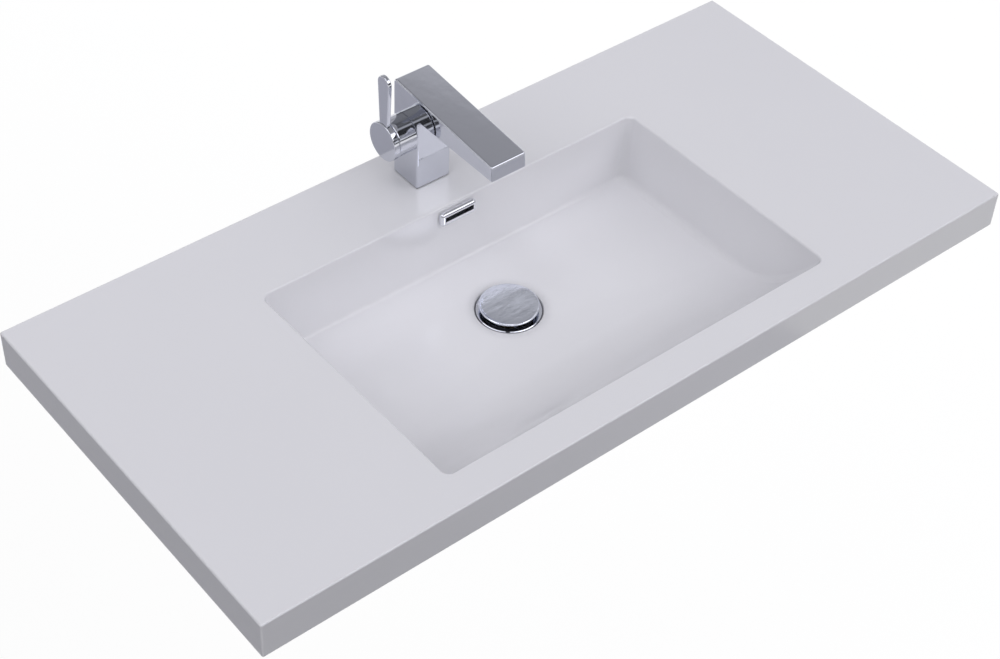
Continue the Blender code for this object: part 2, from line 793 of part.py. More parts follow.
def make_spring(drain, low, high):
    """One unbroken coil between two heights, and its least gap from turn to turn."""
    radius = (BARREL_BORE + STEM_FOOT) / 2
    count = SPRING_TURNS * TURN_POINTS
    curve = bpy.data.curves.new("clicker_spring", "CURVE")
    curve.dimensions = "3D"
    curve.bevel_depth = SPRING_WIRE
    curve.bevel_resolution = 1
    curve.use_fill_caps = True
    coil = curve.splines.new("POLY")
    coil.points.add(count)
    start, end = low + SPRING_WIRE, high - SPRING_WIRE
    places = []
    for i, point in enumerate(coil.points):
        angle = 2 * HALF_TURN * i / TURN_POINTS
        height = start + (end - start) * i / count
        places.append(Vector((radius * math.cos(angle), radius * math.sin(angle), height)))
        point.co = (*places[-1], 1)
    gap = min(
        (places[i + TURN_POINTS] - places[i]).length for i in range(count + 1 - TURN_POINTS)
    )
    print(f"clicker_spring: least gap between turns {gap - 2 * SPRING_WIRE:.5f} m")
    spring = bpy.data.objects.new("clicker_spring", curve)
    spring.parent = drain
    curve.materials.append(finish("clicker_spring_finish", *STEEL))
    parts.objects.link(spring)


def make_plug(drain, plug):
    """The cap with its seal, the plunger it screws on to, and the index rotor and spring under it."""
    top = -BARREL_TOP_DROP
    collar = BARREL_BORE - RUN
    collar_low = top - COLLAR_HEIGHT
    rim = PLUG_LIFT + GAP
    stem_top = rim - CAP_BOSS_DROP + STEM_GRIP
    plunger = [
        (0, stem_top),
        (STEM_RADIUS, stem_top),
        (STEM_RADIUS, top),
        (collar, top),
        (collar, collar_low),
        (STEM_FOOT, collar_low),
        (STEM_FOOT, collar_low - STEM_FOOT_LENGTH),
        (0, collar_low - STEM_FOOT_LENGTH),
    ]
    turned("plunger", plunger, BRASS, plug, SMALL, ring=False)
    rotor_high = collar_low - GAP
    rotor_low = rotor_high - ROTOR_HEIGHT
    bore = STEM_FOOT + RUN
    turned(
        "index_rotor",
        [(collar, rotor_high), (collar, rotor_low), (bore, rotor_low), (bore, rotor_high)],
        GREY_PLASTIC, plug, SMALL,
    )
    make_spring(drain, -BARREL_FOOT_DROP + BARREL_FLOOR + GAP, rotor_low - GAP)

    dome_radius = CAP_RADIUS - CAP_EDGE
    dome = []
    for i in range(DOME_STEPS + 1):
        angle = QUARTER * i / DOME_STEPS
        height = rim + CAP_RIM + CAP_RISE * math.cos(angle)
        dome.append((dome_radius * math.sin(angle), height))
    ceiling = rim + CAP_RIM
    socket = STEM_RADIUS + GAP
    profile = dome + [
        (CAP_RADIUS, rim + CAP_RIM - CAP_EDGE),
        (CAP_RADIUS, rim + CAP_EDGE),
        (CAP_RADIUS - CAP_EDGE, rim),
        (SEAL_OUTER + GAP, rim),
        (SEAL_OUTER + GAP, ceiling),
        (CAP_BOSS, ceiling),
        (CAP_BOSS, rim - CAP_BOSS_DROP),
        (socket, rim - CAP_BOSS_DROP),
        (socket, stem_top + GAP),
        (0, stem_top + GAP),
    ]
    turned("waste_cap", profile, CHROME, plug, FINE, ring=False)
    low = rim - SEAT_DROP
    high = ceiling - GAP
    turned(
        "cap_seal",
        [(SEAL_OUTER, high), (SEAL_OUTER, low), (SEAL_INNER, low), (SEAL_INNER, high)],
        BLACK_RUBBER, plug, FINE,
    )


def spout_outline():
    """The tap's side view, from the foot of its back up, along the spout and down its front."""
    back, front = COLUMN_DEPTH / 2, -COLUMN_DEPTH / 2
    foot = TAP_FOOT - DECK - FOOT_SPARE
    fall = (SPOUT_BACK_TOP - SPOUT_TIP_TOP) / (SPOUT_REACH + back)
    slope = math.atan(fall)
    outline = [(back, foot)]
    outline += arc(
        (back - BACK_ROUND, SPOUT_BACK_TOP - BACK_ROUND), BACK_ROUND, 0, QUARTER + slope
    )
    outline += [(-SPOUT_REACH + TIP_LEAN, SPOUT_TIP_TOP), (-SPOUT_REACH, SPOUT_UNDER)]
    corner = (front - INNER_FILLET, SPOUT_UNDER - INNER_FILLET)
    outline += arc(corner, INNER_FILLET, QUARTER, 0)
    outline += [(front, foot)]
    return outline


def make_tap_body(stand, turn):
    """The cast body and spout in one, with its cartridge bore, water ways and fixing bore."""
    side_on = axis_frame("tap_side", (0, 0, 0), (QUARTER, 0, QUARTER), stand)
    body = plate("tap_body", spout_outline(), COLUMN_WIDTH, CHROME, side_on)
    soften(body, BODY_EDGE, 3)
    foot = TAP_FOOT - DECK
    spare = block(
        "spare_foot",
        (-COLUMN_WIDTH, -COLUMN_DEPTH, foot - FOOT_SPARE - OVERRUN),
        (COLUMN_WIDTH, COLUMN_DEPTH, foot),
        frame=stand,
    )
    cut(body, spare)
    shoulder = BORE_FLOOR + STACK_LENGTH
    outer = NUT_BORE + BOSS_WALL
    join(body, rod("cartridge_boss", outer, BORE_FLOOR, BODY_BOSS_END, frame=turn, sides=FINE))
    wall = CARTRIDGE_RADIUS + GAP
    cut(body, rod("cartridge_bore", wall, BORE_FLOOR, BODY_BOSS_END + OVERRUN, frame=turn, sides=FINE))
    cut(body, rod("nut_bore", NUT_BORE, shoulder, BODY_BOSS_END + OVERRUN, frame=turn, sides=FINE))

    axis = AXIS_HEIGHT
    tail_end = foot - TAIL_LENGTH
    for name, side in (("hot", 1), ("cold", -1)):
        across = side * INLET_SPREAD
        tail = rod(
            f"{name}_tail", TAIL_RADIUS, tail_end, foot + TAIL_LENGTH,
            frame=stand, centre=(INLET_OFFSET, across), sides=ROUND,
        )
        join(body, tail)
        rise = rod(
            f"{name}_rise", INLET_RADIUS, tail_end - OVERRUN, axis + PORT_RISE + PORT_RADIUS,
            frame=stand, centre=(INLET_OFFSET, across),
        )
        cut(body, rise)
        port = rod(
            f"{name}_port", PORT_RADIUS, -BORE_FLOOR - GAP, INLET_OFFSET,
            frame=stand, centre=(side * PORT_SPREAD, axis + PORT_RISE), along="X",
        )
        cut(body, port)
    under = SPOUT_UNDER + CHANNEL_FLOOR
    outlet = rod(
        "outlet_port", OUTLET_RADIUS, -BORE_FLOOR - GAP, INLET_OFFSET + OUTLET_RADIUS,
        frame=stand, centre=(0, axis - OUTLET_DROP), along="X",
    )
    cut(body, outlet)
    riser = rod(
        "outlet_rise", OUTLET_RADIUS, axis - OUTLET_DROP, under + CHANNEL_HEIGHT / 2,
        frame=stand, centre=(INLET_OFFSET, 0),
    )
    cut(body, riser)
    spout_way = -SPOUT_REACH + AERATOR_FROM_TIP
    half = CHANNEL_WIDTH / 2
    channel = block(
        "spout_channel", (-half, spout_way, under), (half, INLET_SPREAD, under + CHANNEL_HEIGHT), frame=stand
    )
    cut(body, channel)
    aerator_bore = rod(
        "aerator_bore", AERATOR_BORE, SPOUT_UNDER - OVERRUN, SPOUT_UNDER + AERATOR_BORE_DEPTH,
        frame=stand, centre=(0, spout_way), sides=ROUND,
    )
    cut(body, aerator_bore)
    stud_bore = rod(
        "stud_bore", STUD_RADIUS + GAP, foot - OVERRUN, foot + STUD_GRIP + GAP,
        frame=stand, centre=(-STUD_OFFSET, 0),
    )
    cut(body, stud_bore)


def make_aerator(stand):
    """The aerator under the spout's tip: its housing, perforated insert and washer."""
    place = (0, -SPOUT_REACH + AERATOR_FROM_TIP, 0)
    outer = AERATOR_BORE - GAP
    inner = outer - AERATOR_WALL
    low = SPOUT_UNDER - AERATOR_PROUD
    high = low + AERATOR_HEIGHT
    ledge = low + AERATOR_LEDGE
    housing = [
        (outer, high),
        (outer, low),
        (inner - AERATOR_WALL, low),
        (inner - AERATOR_WALL, ledge),
        (inner, ledge),
        (inner, high),
    ]
    turned("aerator_housing", housing, CHROME, stand, ROUND, centre=place)
    start = ledge + GAP
    insert = rod(
        "aerator_insert", inner - GAP, start, start + INSERT_HEIGHT, WHITE_PLASTIC,
        stand, centre=place[:2], sides=ROUND,
    )
    spots = [(0, 0)]
    for i in range(INSERT_HOLES):
        angle = 2 * HALF_TURN * i / INSERT_HOLES
        spots.append((INSERT_RING * math.cos(angle), INSERT_RING * math.sin(angle)))
    for i, (across, along) in enumerate(spots):
        hole = rod(
            f"insert_hole_{i}", INSERT_HOLE, start - OVERRUN, start + INSERT_HEIGHT + OVERRUN,
            frame=stand, centre=(place[0] + across, place[1] + along), sides=8,
        )
        cut(insert, hole)
    floor = high + GAP
    roof = SPOUT_UNDER + AERATOR_BORE_DEPTH - GAP
    washer = [(outer, roof), (outer, floor), (inner - AERATOR_WALL, floor), (inner - AERATOR_WALL, roof)]
    turned("aerator_washer", washer, BLACK_RUBBER, stand, ROUND, centre=place)


def clamp_shape(name, low, high, look, stand):
    """A horseshoe round the stud, open to the side where the supply pipes pass."""
    piece = rod(name, CLAMP_RADIUS, low, high, look, stand, sides=ROUND)
    half = CLAMP_MOUTH / 2
    mouth = block(
        name + "_mouth",
        (-CLAMP_MOUTH_START, -half, low - OVERRUN),
        (CLAMP_RADIUS + OVERRUN, half, high + OVERRUN),
        frame=stand,
    )
    cut(piece, mouth)
    hole = rod(
        name + "_hole", STUD_RADIUS + GAP, low - OVERRUN, high + OVERRUN,
        frame=stand, centre=(-STUD_OFFSET, 0),
    )
    cut(piece, hole)


def make_tap_fixing(stand):
    """The gasket under the tap, the stud through the deck, and the clamp under the land."""
    low, high = GAP, GAP + GASKET_THICKNESS
    wide, deep = COLUMN_WIDTH / 2 - BASE_GASKET_INSET, COLUMN_DEPTH / 2 - BASE_GASKET_INSET
    gasket = block("base_gasket", (-wide, -deep, low), (wide, deep, high), BLACK_RUBBER, stand)
    cut(gasket, rod("gasket_bore", TAP_HOLE, low - OVERRUN, high + OVERRUN, frame=stand, sides=ROUND))

    top = -TAP_LAND - GAP
    clamp_shape("clamp_rubber", top - CLAMP_RUBBER, top, BLACK_RUBBER, stand)
    top -= CLAMP_RUBBER + GAP
    clamp_shape("clamp_plate", top - CLAMP_PLATE, top, STEEL, stand)
    top -= CLAMP_PLATE + GAP
    low = top - STUD_NUT_HEIGHT
    centre = (-STUD_OFFSET, 0)
    nut = rod("stud_nut", STUD_NUT_RADIUS, low, top, BRASS, stand, centre=centre, sides=6)
    bore = rod(
        "stud_nut_bore", STUD_RADIUS + GAP, low - OVERRUN, top + OVERRUN, frame=stand, centre=centre
    )
    cut(nut, bore)
    start = low - STUD_SPARE
    end = TAP_FOOT - DECK + STUD_GRIP
    rod("fixing_stud", STUD_RADIUS, start, end, STEEL, stand, centre=centre)


# The cartridge's stack, each face a gap above the one before it.
BASE_START = BORE_FLOOR + GAP + SEAL_HEIGHT + GAP
FIXED_START = BASE_START + BASE_HEIGHT + GAP
MOVING_START = FIXED_START + FIXED_DISC + GAP
CARRIER_START = MOVING_START + MOVING_DISC + GAP
SWIVEL_START = CARRIER_START + CARRIER_HEIGHT + GAP
SWIVEL_END = SWIVEL_START + SWIVEL_LENGTH
HOUSING_TOP = SWIVEL_END + GAP + HOUSING_END
STACK_LENGTH = HOUSING_TOP - BORE_FLOOR


def make_ports(piece, low, high, turn):
    """Cuts the hot, cold and outlet ports through a disc of the cartridge."""
    ports = (
        ("hot", PORT_RISE, PORT_SPREAD, PORT_RADIUS),
        ("cold", PORT_RISE, -PORT_SPREAD, PORT_RADIUS),
        ("outlet", -OUTLET_DROP, 0, OUTLET_RADIUS),
    )
    for name, up, across, radius in ports:
        hole = rod(
            f"{piece.name}_{name}", radius, low - OVERRUN, high + OVERRUN, frame=turn, centre=(up, across)
        )
        cut(piece, hole)


def make_cartridge(turn):
    """The cartridge's fixed pieces, and the nut that holds it in its bore."""
    seals = (
        ("hot_seal", PORT_RISE, PORT_SPREAD, PORT_RADIUS),
        ("cold_seal", PORT_RISE, -PORT_SPREAD, PORT_RADIUS),
        ("outlet_seal", -OUTLET_DROP, 0, OUTLET_RADIUS),
    )
    low = BORE_FLOOR + GAP
    high = low + SEAL_HEIGHT
    for name, up, across, radius in seals:
        outer, inner = radius + GAP + SEAL_WIDTH, radius + GAP
        ring = [(outer, high), (outer, low), (inner, low), (inner, high)]
        turned(name, ring, BLACK_RUBBER, turn, SMALL, centre=(up, across, 0))

    inner = CARTRIDGE_RADIUS - HOUSING_WALL
    base_end = BASE_START + BASE_HEIGHT
    base = rod("cartridge_base", inner - GAP, BASE_START, base_end, GREY_PLASTIC, turn, sides=ROUND)
    make_ports(base, BASE_START, base_end, turn)
    fixed_end = FIXED_START + FIXED_DISC
    fixed = rod("fixed_disc", inner - GAP, FIXED_START, fixed_end, CERAMIC, turn, sides=ROUND)
    make_ports(fixed, FIXED_START, fixed_end, turn)

    eye = NECK_RADIUS + RUN
    housing = [
        (CARTRIDGE_RADIUS, HOUSING_TOP),
        (CARTRIDGE_RADIUS, BASE_START),
        (inner, BASE_START),
        (inner, HOUSING_TOP - HOUSING_END),
        (eye, HOUSING_TOP - HOUSING_END),
        (eye, HOUSING_TOP),
    ]
    turned("cartridge_housing", housing, GREY_PLASTIC, turn, ROUND)

    low = HOUSING_TOP + GAP
    high = low + NUT_LENGTH
    outer = NUT_BORE - GAP
    nut = [(outer, high), (outer, low), (NUT_EYE, low), (NUT_EYE, high)]
    turned("cartridge_nut", nut, BRASS, turn, ROUND)


def make_swivel(turn):
    """What turns with the lever for temperature: the swivel and the pin through it."""
    body = CARTRIDGE_RADIUS - HOUSING_WALL - RUN
    neck_end = SWIVEL_END + HOUSING_END + NECK_LENGTH
    profile = [
        (0, neck_end),
        (NECK_RADIUS, neck_end),
        (NECK_RADIUS, SWIVEL_END),
        (body, SWIVEL_END),
        (body, SWIVEL_START),
        (0, SWIVEL_START),
    ]
    swivel = turned("swivel", profile, WHITE_PLASTIC, turn, ROUND, ring=False)
    tall, wide = SWIVEL_SLOT / 2, SPINDLE_SIDE / 2 + RUN
    slot = block(
        "swivel_slot",
        (-tall, -wide, SWIVEL_START - OVERRUN),
        (tall, wide, neck_end + OVERRUN),
        frame=turn,
    )
    cut(swivel, slot)
    reach = body + OVERRUN
    centre = (0, PIVOT_OUT)
    cut(swivel, rod("pin_bore", PIN_RADIUS + GAP, -reach, reach, frame=turn, centre=centre, along="Y"))
    half = body - PIN_INSET
    rod("spindle_pin", PIN_RADIUS, -half, half, STEEL, turn, centre=centre, along="Y", sides=16)


def make_sliding_disc(slide):
    """The moving disc and the carrier on it, whose socket holds the spindle's ball."""
    low, floor, end = MOVING_START, MOVING_START + MIXING_DEPTH, MOVING_START + MOVING_DISC
    profile = [
        (0, end),
        (MOVING_DISC_RADIUS, end),
        (MOVING_DISC_RADIUS, low),
        (MIXING_RADIUS, low),
        (MIXING_RADIUS, floor),
        (0, floor),
    ]
    turned("moving_disc", profile, CERAMIC, slide, ROUND, ring=False)
    end = CARRIER_START + CARRIER_HEIGHT
    carrier = rod("disc_carrier", CARRIER_RADIUS, CARRIER_START, end, GREY_PLASTIC, slide, sides=ROUND)
    socket = rod("ball_socket", BALL_SOCKET, end - SOCKET_DEPTH, end + OVERRUN, frame=slide)
    cut(carrier, socket)


HUB_IN = BODY_BOSS_END + GAP + COVER_END_WALL + HUB_GAP
HUB_OUT = HUB_IN + HUB_LENGTH
HUB_FLOOR = HUB_OUT - HUB_FACE


def make_cover(turn):
    """The chrome cover over the cartridge boss, from the body's side out to the handle."""
    start = COLUMN_WIDTH / 2 + GAP
    end_in = BODY_BOSS_END + GAP
    end_out = end_in + COVER_END_WALL
    inner = COVER_RADIUS - COVER_WALL
    profile = [(COVER_EYE, end_out)]
    profile += arc((COVER_RADIUS - COVER_EDGE, end_out - COVER_EDGE), COVER_EDGE, QUARTER, 0, 4)
    profile += [(COVER_RADIUS, start), (inner, start), (inner, end_in), (COVER_EYE, end_in)]
    turned("barrel_cover", profile, CHROME, turn, FINE)


def make_spindle(tilt):
    """The spindle: a ball, a thin arm and a square bar, bored for the pin it tilts on."""
    foot = -BALL_REACH
    arm_from = math.asin(SPINDLE_ARM / BALL_RADIUS)
    profile = [(0, -BAR_START + GAP), (SPINDLE_ARM, -BAR_START + GAP)]
    for i in range(ARC + 1):
        angle = QUARTER - arm_from - (HALF_TURN - arm_from) * i / ARC
        profile.append(
            (max(BALL_RADIUS * math.cos(angle), 0), foot + BALL_RADIUS * math.sin(angle))
        )
    spindle = turned("spindle", profile, STEEL, tilt, 16, ring=False)
    half = SPINDLE_SIDE / 2
    end = HUB_FLOOR - PIVOT_OUT - SPINDLE_SPARE
    join(spindle, block("spindle_bar", (-half, -half, -BAR_START), (half, half, end), frame=tilt))
    reach = half + OVERRUN
    cut(spindle, rod("spindle_bore", PIN_RADIUS + GAP, -reach, reach, frame=tilt, along="Y", sides=16))


def make_handle(tilt):
    """The round hub on the spindle, the lever blade in its rim and the grub screw under it."""
    low, high, floor = HUB_IN - PIVOT_OUT, HUB_OUT - PIVOT_OUT, HUB_FLOOR - PIVOT_OUT
    rim = HUB_RADIUS - HUB_RIM_WALL
    profile = [(0, high)]
    profile += arc((HUB_RADIUS - HUB_EDGE, high - HUB_EDGE), HUB_EDGE, QUARTER, 0, 3)
    profile += [
        (HUB_RADIUS, low),
        (rim, low),
        (rim, floor),
        (HUB_BOSS, floor),
        (HUB_BOSS, low - HUB_BOSS_REACH),
        (0, low - HUB_BOSS_REACH),
    ]
    hub = turned("handle_hub", profile, CHROME, tilt, FINE, ring=False)
    half = SPINDLE_SIDE / 2 + GAP
    square = block(
        "hub_square", (-half, -half, low - HUB_BOSS_REACH - OVERRUN), (half, half, floor + GAP), frame=tilt
    )
    cut(hub, square)
    screw_at = low + GRUB_INSET
    way = rod(
        "grub_bore", GRUB_RADIUS + GAP, -HUB_RADIUS - OVERRUN, 0, frame=tilt, centre=(0, screw_at), along="X"
    )
    cut(hub, way)
    start = -half - GAP - GRUB_LENGTH
    rod(
        "grub_screw", GRUB_RADIUS, start, start + GRUB_LENGTH, STEEL, tilt,
        centre=(0, screw_at), along="X", sides=12,
    )

    middle = low + LEVER_INSET + LEVER_THICKNESS / 2
    blade_frame = axis_frame("blade_plane", (0, 0, middle), (0, 0, 0), tilt)
    top_half, foot_half = LEVER_TOP_WIDTH / 2, LEVER_FOOT_WIDTH / 2
    shoulder = LEVER_TOP - top_half
    outline = [(rim, foot_half), (rim, -foot_half)]
    outline += arc((shoulder, 0), top_half, -QUARTER, QUARTER, 2 * ARC)
    blade = plate("lever_blade", outline, LEVER_THICKNESS, CHROME, blade_frame)
    soften(blade, LEVER_EDGE, 2)
    reach = LEVER_THICKNESS
    seat = rod("blade_seat", HUB_RADIUS + GAP, -reach, reach, frame=blade_frame, sides=2 * FINE)
    cut(blade, seat)
    half_tenon, thick = TENON_WIDTH / 2, TENON_THICKNESS / 2
    tenon = block(
        "blade_tenon",
        (rim + GAP, -half_tenon, -thick),
        (HUB_RADIUS + 2 * LEVER_EDGE, half_tenon, thick),
        frame=blade_frame,
    )
    join(blade, tenon)
    mortise = block(
        "hub_mortise",
        (rim - OVERRUN, -half_tenon - GAP, -thick - GAP),
        (HUB_RADIUS + OVERRUN, half_tenon + GAP, thick + GAP),
        frame=blade_frame,
    )
    cut(hub, mortise)


def build():
    make_casting()
    make_overflow()
    drain = axis_frame("drain_axis", (0, DRAIN_Y, DRAIN_Z))
    plug = axis_frame("plug_axis", (0, 0, 0), parent=drain)
    make_waste_body(drain)
    make_waste_fixing(drain)
    make_clicker(drain)
    make_plug(drain, plug)

    stand = axis_frame("tap_stand", (0, TAP_Y, DECK))
    turn = axis_frame("turn_axis", (0, 0, AXIS_HEIGHT), (0, -QUARTER, 0), stand)
    slide = axis_frame("disc_slide", (0, 0, 0), parent=turn)
    tilt = axis_frame("tilt_axis", (0, 0, PIVOT_OUT), parent=turn)
    make_tap_body(stand, turn)
    make_aerator(stand)
    make_tap_fixing(stand)
    make_cartridge(turn)
    make_cover(turn)
    make_swivel(turn)
    make_sliding_disc(slide)
    make_spindle(tilt)
    make_handle(tilt)
    bpy.context.view_layer.update()


build()
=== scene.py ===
"""Vanity basin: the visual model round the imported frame, its materials, the studio and the camera.

Metres, in the frame's own axes: +X to the right, +Y to the wall, +Z up.
"""

import json
import math

import bmesh
import bpy
from mathutils import Matrix, Vector


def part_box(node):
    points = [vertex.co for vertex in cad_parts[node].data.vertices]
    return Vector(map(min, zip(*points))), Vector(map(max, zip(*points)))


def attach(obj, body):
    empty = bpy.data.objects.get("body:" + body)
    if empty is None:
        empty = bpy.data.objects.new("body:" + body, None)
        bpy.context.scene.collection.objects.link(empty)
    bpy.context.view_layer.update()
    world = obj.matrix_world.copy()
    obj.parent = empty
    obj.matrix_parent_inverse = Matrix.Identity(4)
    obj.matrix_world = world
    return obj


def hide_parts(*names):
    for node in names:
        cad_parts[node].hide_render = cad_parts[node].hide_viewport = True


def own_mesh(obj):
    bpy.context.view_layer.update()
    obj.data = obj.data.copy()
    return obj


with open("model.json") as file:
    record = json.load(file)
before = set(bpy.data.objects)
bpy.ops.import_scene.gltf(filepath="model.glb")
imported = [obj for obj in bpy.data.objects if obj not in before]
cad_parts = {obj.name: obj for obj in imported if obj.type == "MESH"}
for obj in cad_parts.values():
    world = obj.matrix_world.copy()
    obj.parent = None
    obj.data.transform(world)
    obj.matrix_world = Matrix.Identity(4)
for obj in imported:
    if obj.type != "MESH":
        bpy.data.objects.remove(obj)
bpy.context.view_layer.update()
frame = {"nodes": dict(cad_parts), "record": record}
scene = bpy.context.scene
NODES = frame["nodes"]
SLOTS = {part["node"]: part["material_slot"] for part in frame["record"]["subparts"]}

QUARTER = math.pi / 2
CREASE = 32
MERGE = 0.000004
NORMAL_WEIGHT = 100

# The top's sizes, as in the CAD model.
DECK, BACK, FRONT, HALF = 0.047, 0.009, -0.461, 0.5
SLAB_EDGE, POCKET_CORNER = 0.0022, 0.006
RIM_BACK, RIM_FRONT, BOWL_HALF = -0.106, -0.420, 0.258
RIM_RADIUS, RIM_CORNER, FLOOR_CORNER = 0.0025, 0.009, 0.016
WALL_HEIGHT, BOWL_WALL, FLOOR_Z = 0.084, 0.012, -0.0395
SIDE_DRAFT, BACK_DRAFT, SIDE_COVE, BACK_COVE, FRONT_SWEEP = 0.006, 0.004, 0.009, 0.006, 0.140
DRAIN_Y, DRAIN_Z = -0.204, -0.043
RECESS_RADIUS, RECESS_DEPTH, RECESS_LIP = 0.0382, 0.0075, 0.0016
WASTE_HOLE, BOSS_RADIUS, BOSS_DROP = 0.0225, 0.046, 0.039
DUCT_HALF, DUCT_WALL = 0.026, 0.006
DUCT_TOP, DUCT_CEILING, DUCT_FLOOR = 0.0397, -0.0555, -0.0655
DUCT_FRONT, DUCT_BACK, DUCT_FLOOR_HALF = -0.095, -0.087, 0.020
TAP_HOLE = 0.0175

# The overflow's, the waste's and the spring's.
SLOT_HALF, SLOT_LOW, SLOT_HIGH = 0.01975, 0.03045, 0.03695
COLLAR_WALL, COLLAR_LENGTH, TRIM_EDGE = 0.0012, 0.009, 0.0040
CAP_RADIUS, CAP_LIFT, CAP_RIM, CAP_RISE, CAP_EDGE = 0.034, 0.0053, 0.0022, 0.0018, 0.0007
PLUG_TRAVEL = 0.005
SPRING_FOOT, SPRING_TOP = DRAIN_Z - 0.0497, DRAIN_Z - 0.0198
SPRING_WIRE, SPRING_RADIUS, SPRING_TURNS = 0.0005, 0.00325, 9

# The tap's.
TAP_Y, AXIS_Z = -0.0435, 0.1155
COLUMN_WIDTH, COLUMN_HALF, TAP_FOOT, FOOT_SPARE = 0.046, 0.0215, 0.0016, 0.005
SPOUT_TIP, SPOUT_TIP_TOP, SPOUT_UNDER, SPOUT_BACK_TOP = -0.149, 0.113, 0.094, 0.128
TIP_LEAN, BACK_ROUND, INNER_FILLET, BODY_EDGE = 0.0015, 0.005, 0.007, 0.002
BORE_FLOOR, BODY_BOSS, BODY_BOSS_END = -0.002, 0.0208, -0.0445
CARTRIDGE_BORE, NUT_BORE, NUT_SHOULDER = 0.0175, 0.0190, -0.0335
TAIL_RADIUS, TAIL_LENGTH, WAY_RADIUS, WAY_TOP = 0.0054, 0.010, 0.004, 0.1230
INLET_OFFSET, INLET_SPREAD = 0.0075, 0.0085
STUD_BORE, STUD_TOP, STUD_OFFSET = 0.0041, 0.0639, 0.009
MOUTH_Y, MOUTH_RADIUS, MOUTH_TOP = TAP_Y - 0.1295, 0.0115, 0.151
CHANNEL_HALF, CHANNEL_LOW, CHANNEL_HIGH = 0.013, 0.146, 0.155
COVER_NEAR, COVER_FAR, COVER_RADIUS, COVER_EYE = 0.0233, 0.0465, 0.0225, 0.0170
HUB_NEAR, HUB_FAR, HUB_FLOOR, HUB_RADIUS, HUB_RIM = 0.0475, 0.0545, 0.0525, 0.0233, 0.0213
LEVER_MIDDLE, LEVER_TOP, LEVER_THICKNESS = HUB_NEAR + 0.0032, 0.0865, 0.005


# Shapes.


def link(name, mesh):
    piece = bpy.data.objects.new(name, mesh)
    scene.collection.objects.link(piece)
    return piece


def smooth(mesh, angle=CREASE):
    mesh.shade_smooth()
    mesh.set_sharp_from_angle(angle=math.radians(angle))


def shaded(name, shape, angle=CREASE):
    bmesh.ops.recalc_face_normals(shape, faces=shape.faces)
    mesh = bpy.data.meshes.new(name)
    shape.to_mesh(mesh)
    shape.free()
    smooth(mesh, angle)
    return link(name, mesh)


def block(name, low, high):
    """A box between two corners."""
    shape = bmesh.new()
    bmesh.ops.create_cube(shape, size=1.0)
    bmesh.ops.scale(shape, vec=[high[i] - low[i] for i in range(3)], verts=shape.verts)
    middle = [(high[i] + low[i]) / 2 for i in range(3)]
    bmesh.ops.translate(shape, vec=middle, verts=shape.verts)
    return shaded(name, shape)


def rod(name, radius, start, end, centre, along="Z", sides=64):
    """A cylinder along Z or X between two places. centre is where its axis stands on the other two."""
    shape = bmesh.new()
    bmesh.ops.create_cone(
        shape, cap_ends=True, segments=sides, radius1=radius, radius2=radius, depth=end - start
    )
    piece = shaded(name, shape)
    middle, (first, second) = (start + end) / 2, centre
    place = Matrix.Translation((first, second, middle))
    if along == "X":
        place = Matrix.Translation((middle, first, second)) @ Matrix.Rotation(QUARTER, 4, "Y")
    piece.data.transform(place)
    return piece


def turned(name, profile, place, steps=96, ring=True):
    """A profile of (radius, height) points turned about the Z axis of a place."""
    shape = bmesh.new()
    rings = []
    for radius, height in profile:
        if radius < 1e-7:
            rings.append([shape.verts.new((0, 0, height))])
            continue
        angles = (2 * math.pi * i / steps for i in range(steps))
        rings.append(
            [shape.verts.new((radius * math.cos(a), radius * math.sin(a), height)) for a in angles]
        )
    pairs = list(zip(rings, rings[1:]))
    if ring:
        pairs.append((rings[-1], rings[0]))
    for first, second in pairs:
        for i in range(steps):
            j = (i + 1) % steps
            corners = [first[i % len(first)], first[j % len(first)]]
            corners += [second[j % len(second)], second[i % len(second)]]
            corners = list(dict.fromkeys(corners))
            if len(corners) > 2:
                shape.faces.new(corners)
    piece = shaded(name, shape)
    piece.data.transform(place)
    return piece


def arc(centre, radius, start, end, steps):
    angles = [start + (end - start) * i / steps for i in range(steps + 1)]
    return [(centre[0] + radius * math.cos(a), centre[1] + radius * math.sin(a)) for a in angles]


def plate(name, outline, thickness, place):
    """A flat outline, thickened to both sides, set in a place."""
    shape = bmesh.new()
    near = [shape.verts.new((a, b, -thickness / 2)) for a, b in outline]
    far = [shape.verts.new((a, b, thickness / 2)) for a, b in outline]
    shape.faces.new(near)
    shape.faces.new(far)
    for i in range(len(near)):
        j = (i + 1) % len(near)
        shape.faces.new((near[i], near[j], far[j], far[i]))
    piece = shaded(name, shape)
    piece.data.transform(place)
    return piece


def loft(name, rings, angle=CREASE):
    """A solid through rings that all have the same number of points."""
    shape = bmesh.new()
    made = [[shape.verts.new(point) for point in ring] for ring in rings]
    for upper, lower in zip(made, made[1:]):
        for i in range(len(upper)):
            j = (i + 1) % len(upper)
            shape.faces.new((upper[i], upper[j], lower[j], lower[i]))
    shape.faces.new(made[0])
    shape.faces.new(made[-1])
    return shaded(name, shape, angle)


def soften(piece, width, steps, angle=40):
    bevel = piece.modifiers.new("edges", "BEVEL")
    bevel.width = width
    bevel.segments = steps
    bevel.limit_method = "ANGLE"
    bevel.angle_limit = math.radians(angle)
    return piece


def combine(piece, other, operation):
    boolean = piece.modifiers.new(other.name, "BOOLEAN")
    boolean.operation = operation
    boolean.object = other
    boolean.solver = "EXACT"
    other.hide_render = True


def cut(piece, other):
    combine(piece, other, "DIFFERENCE")


def join(piece, other):
    combine(piece, other, "UNION")


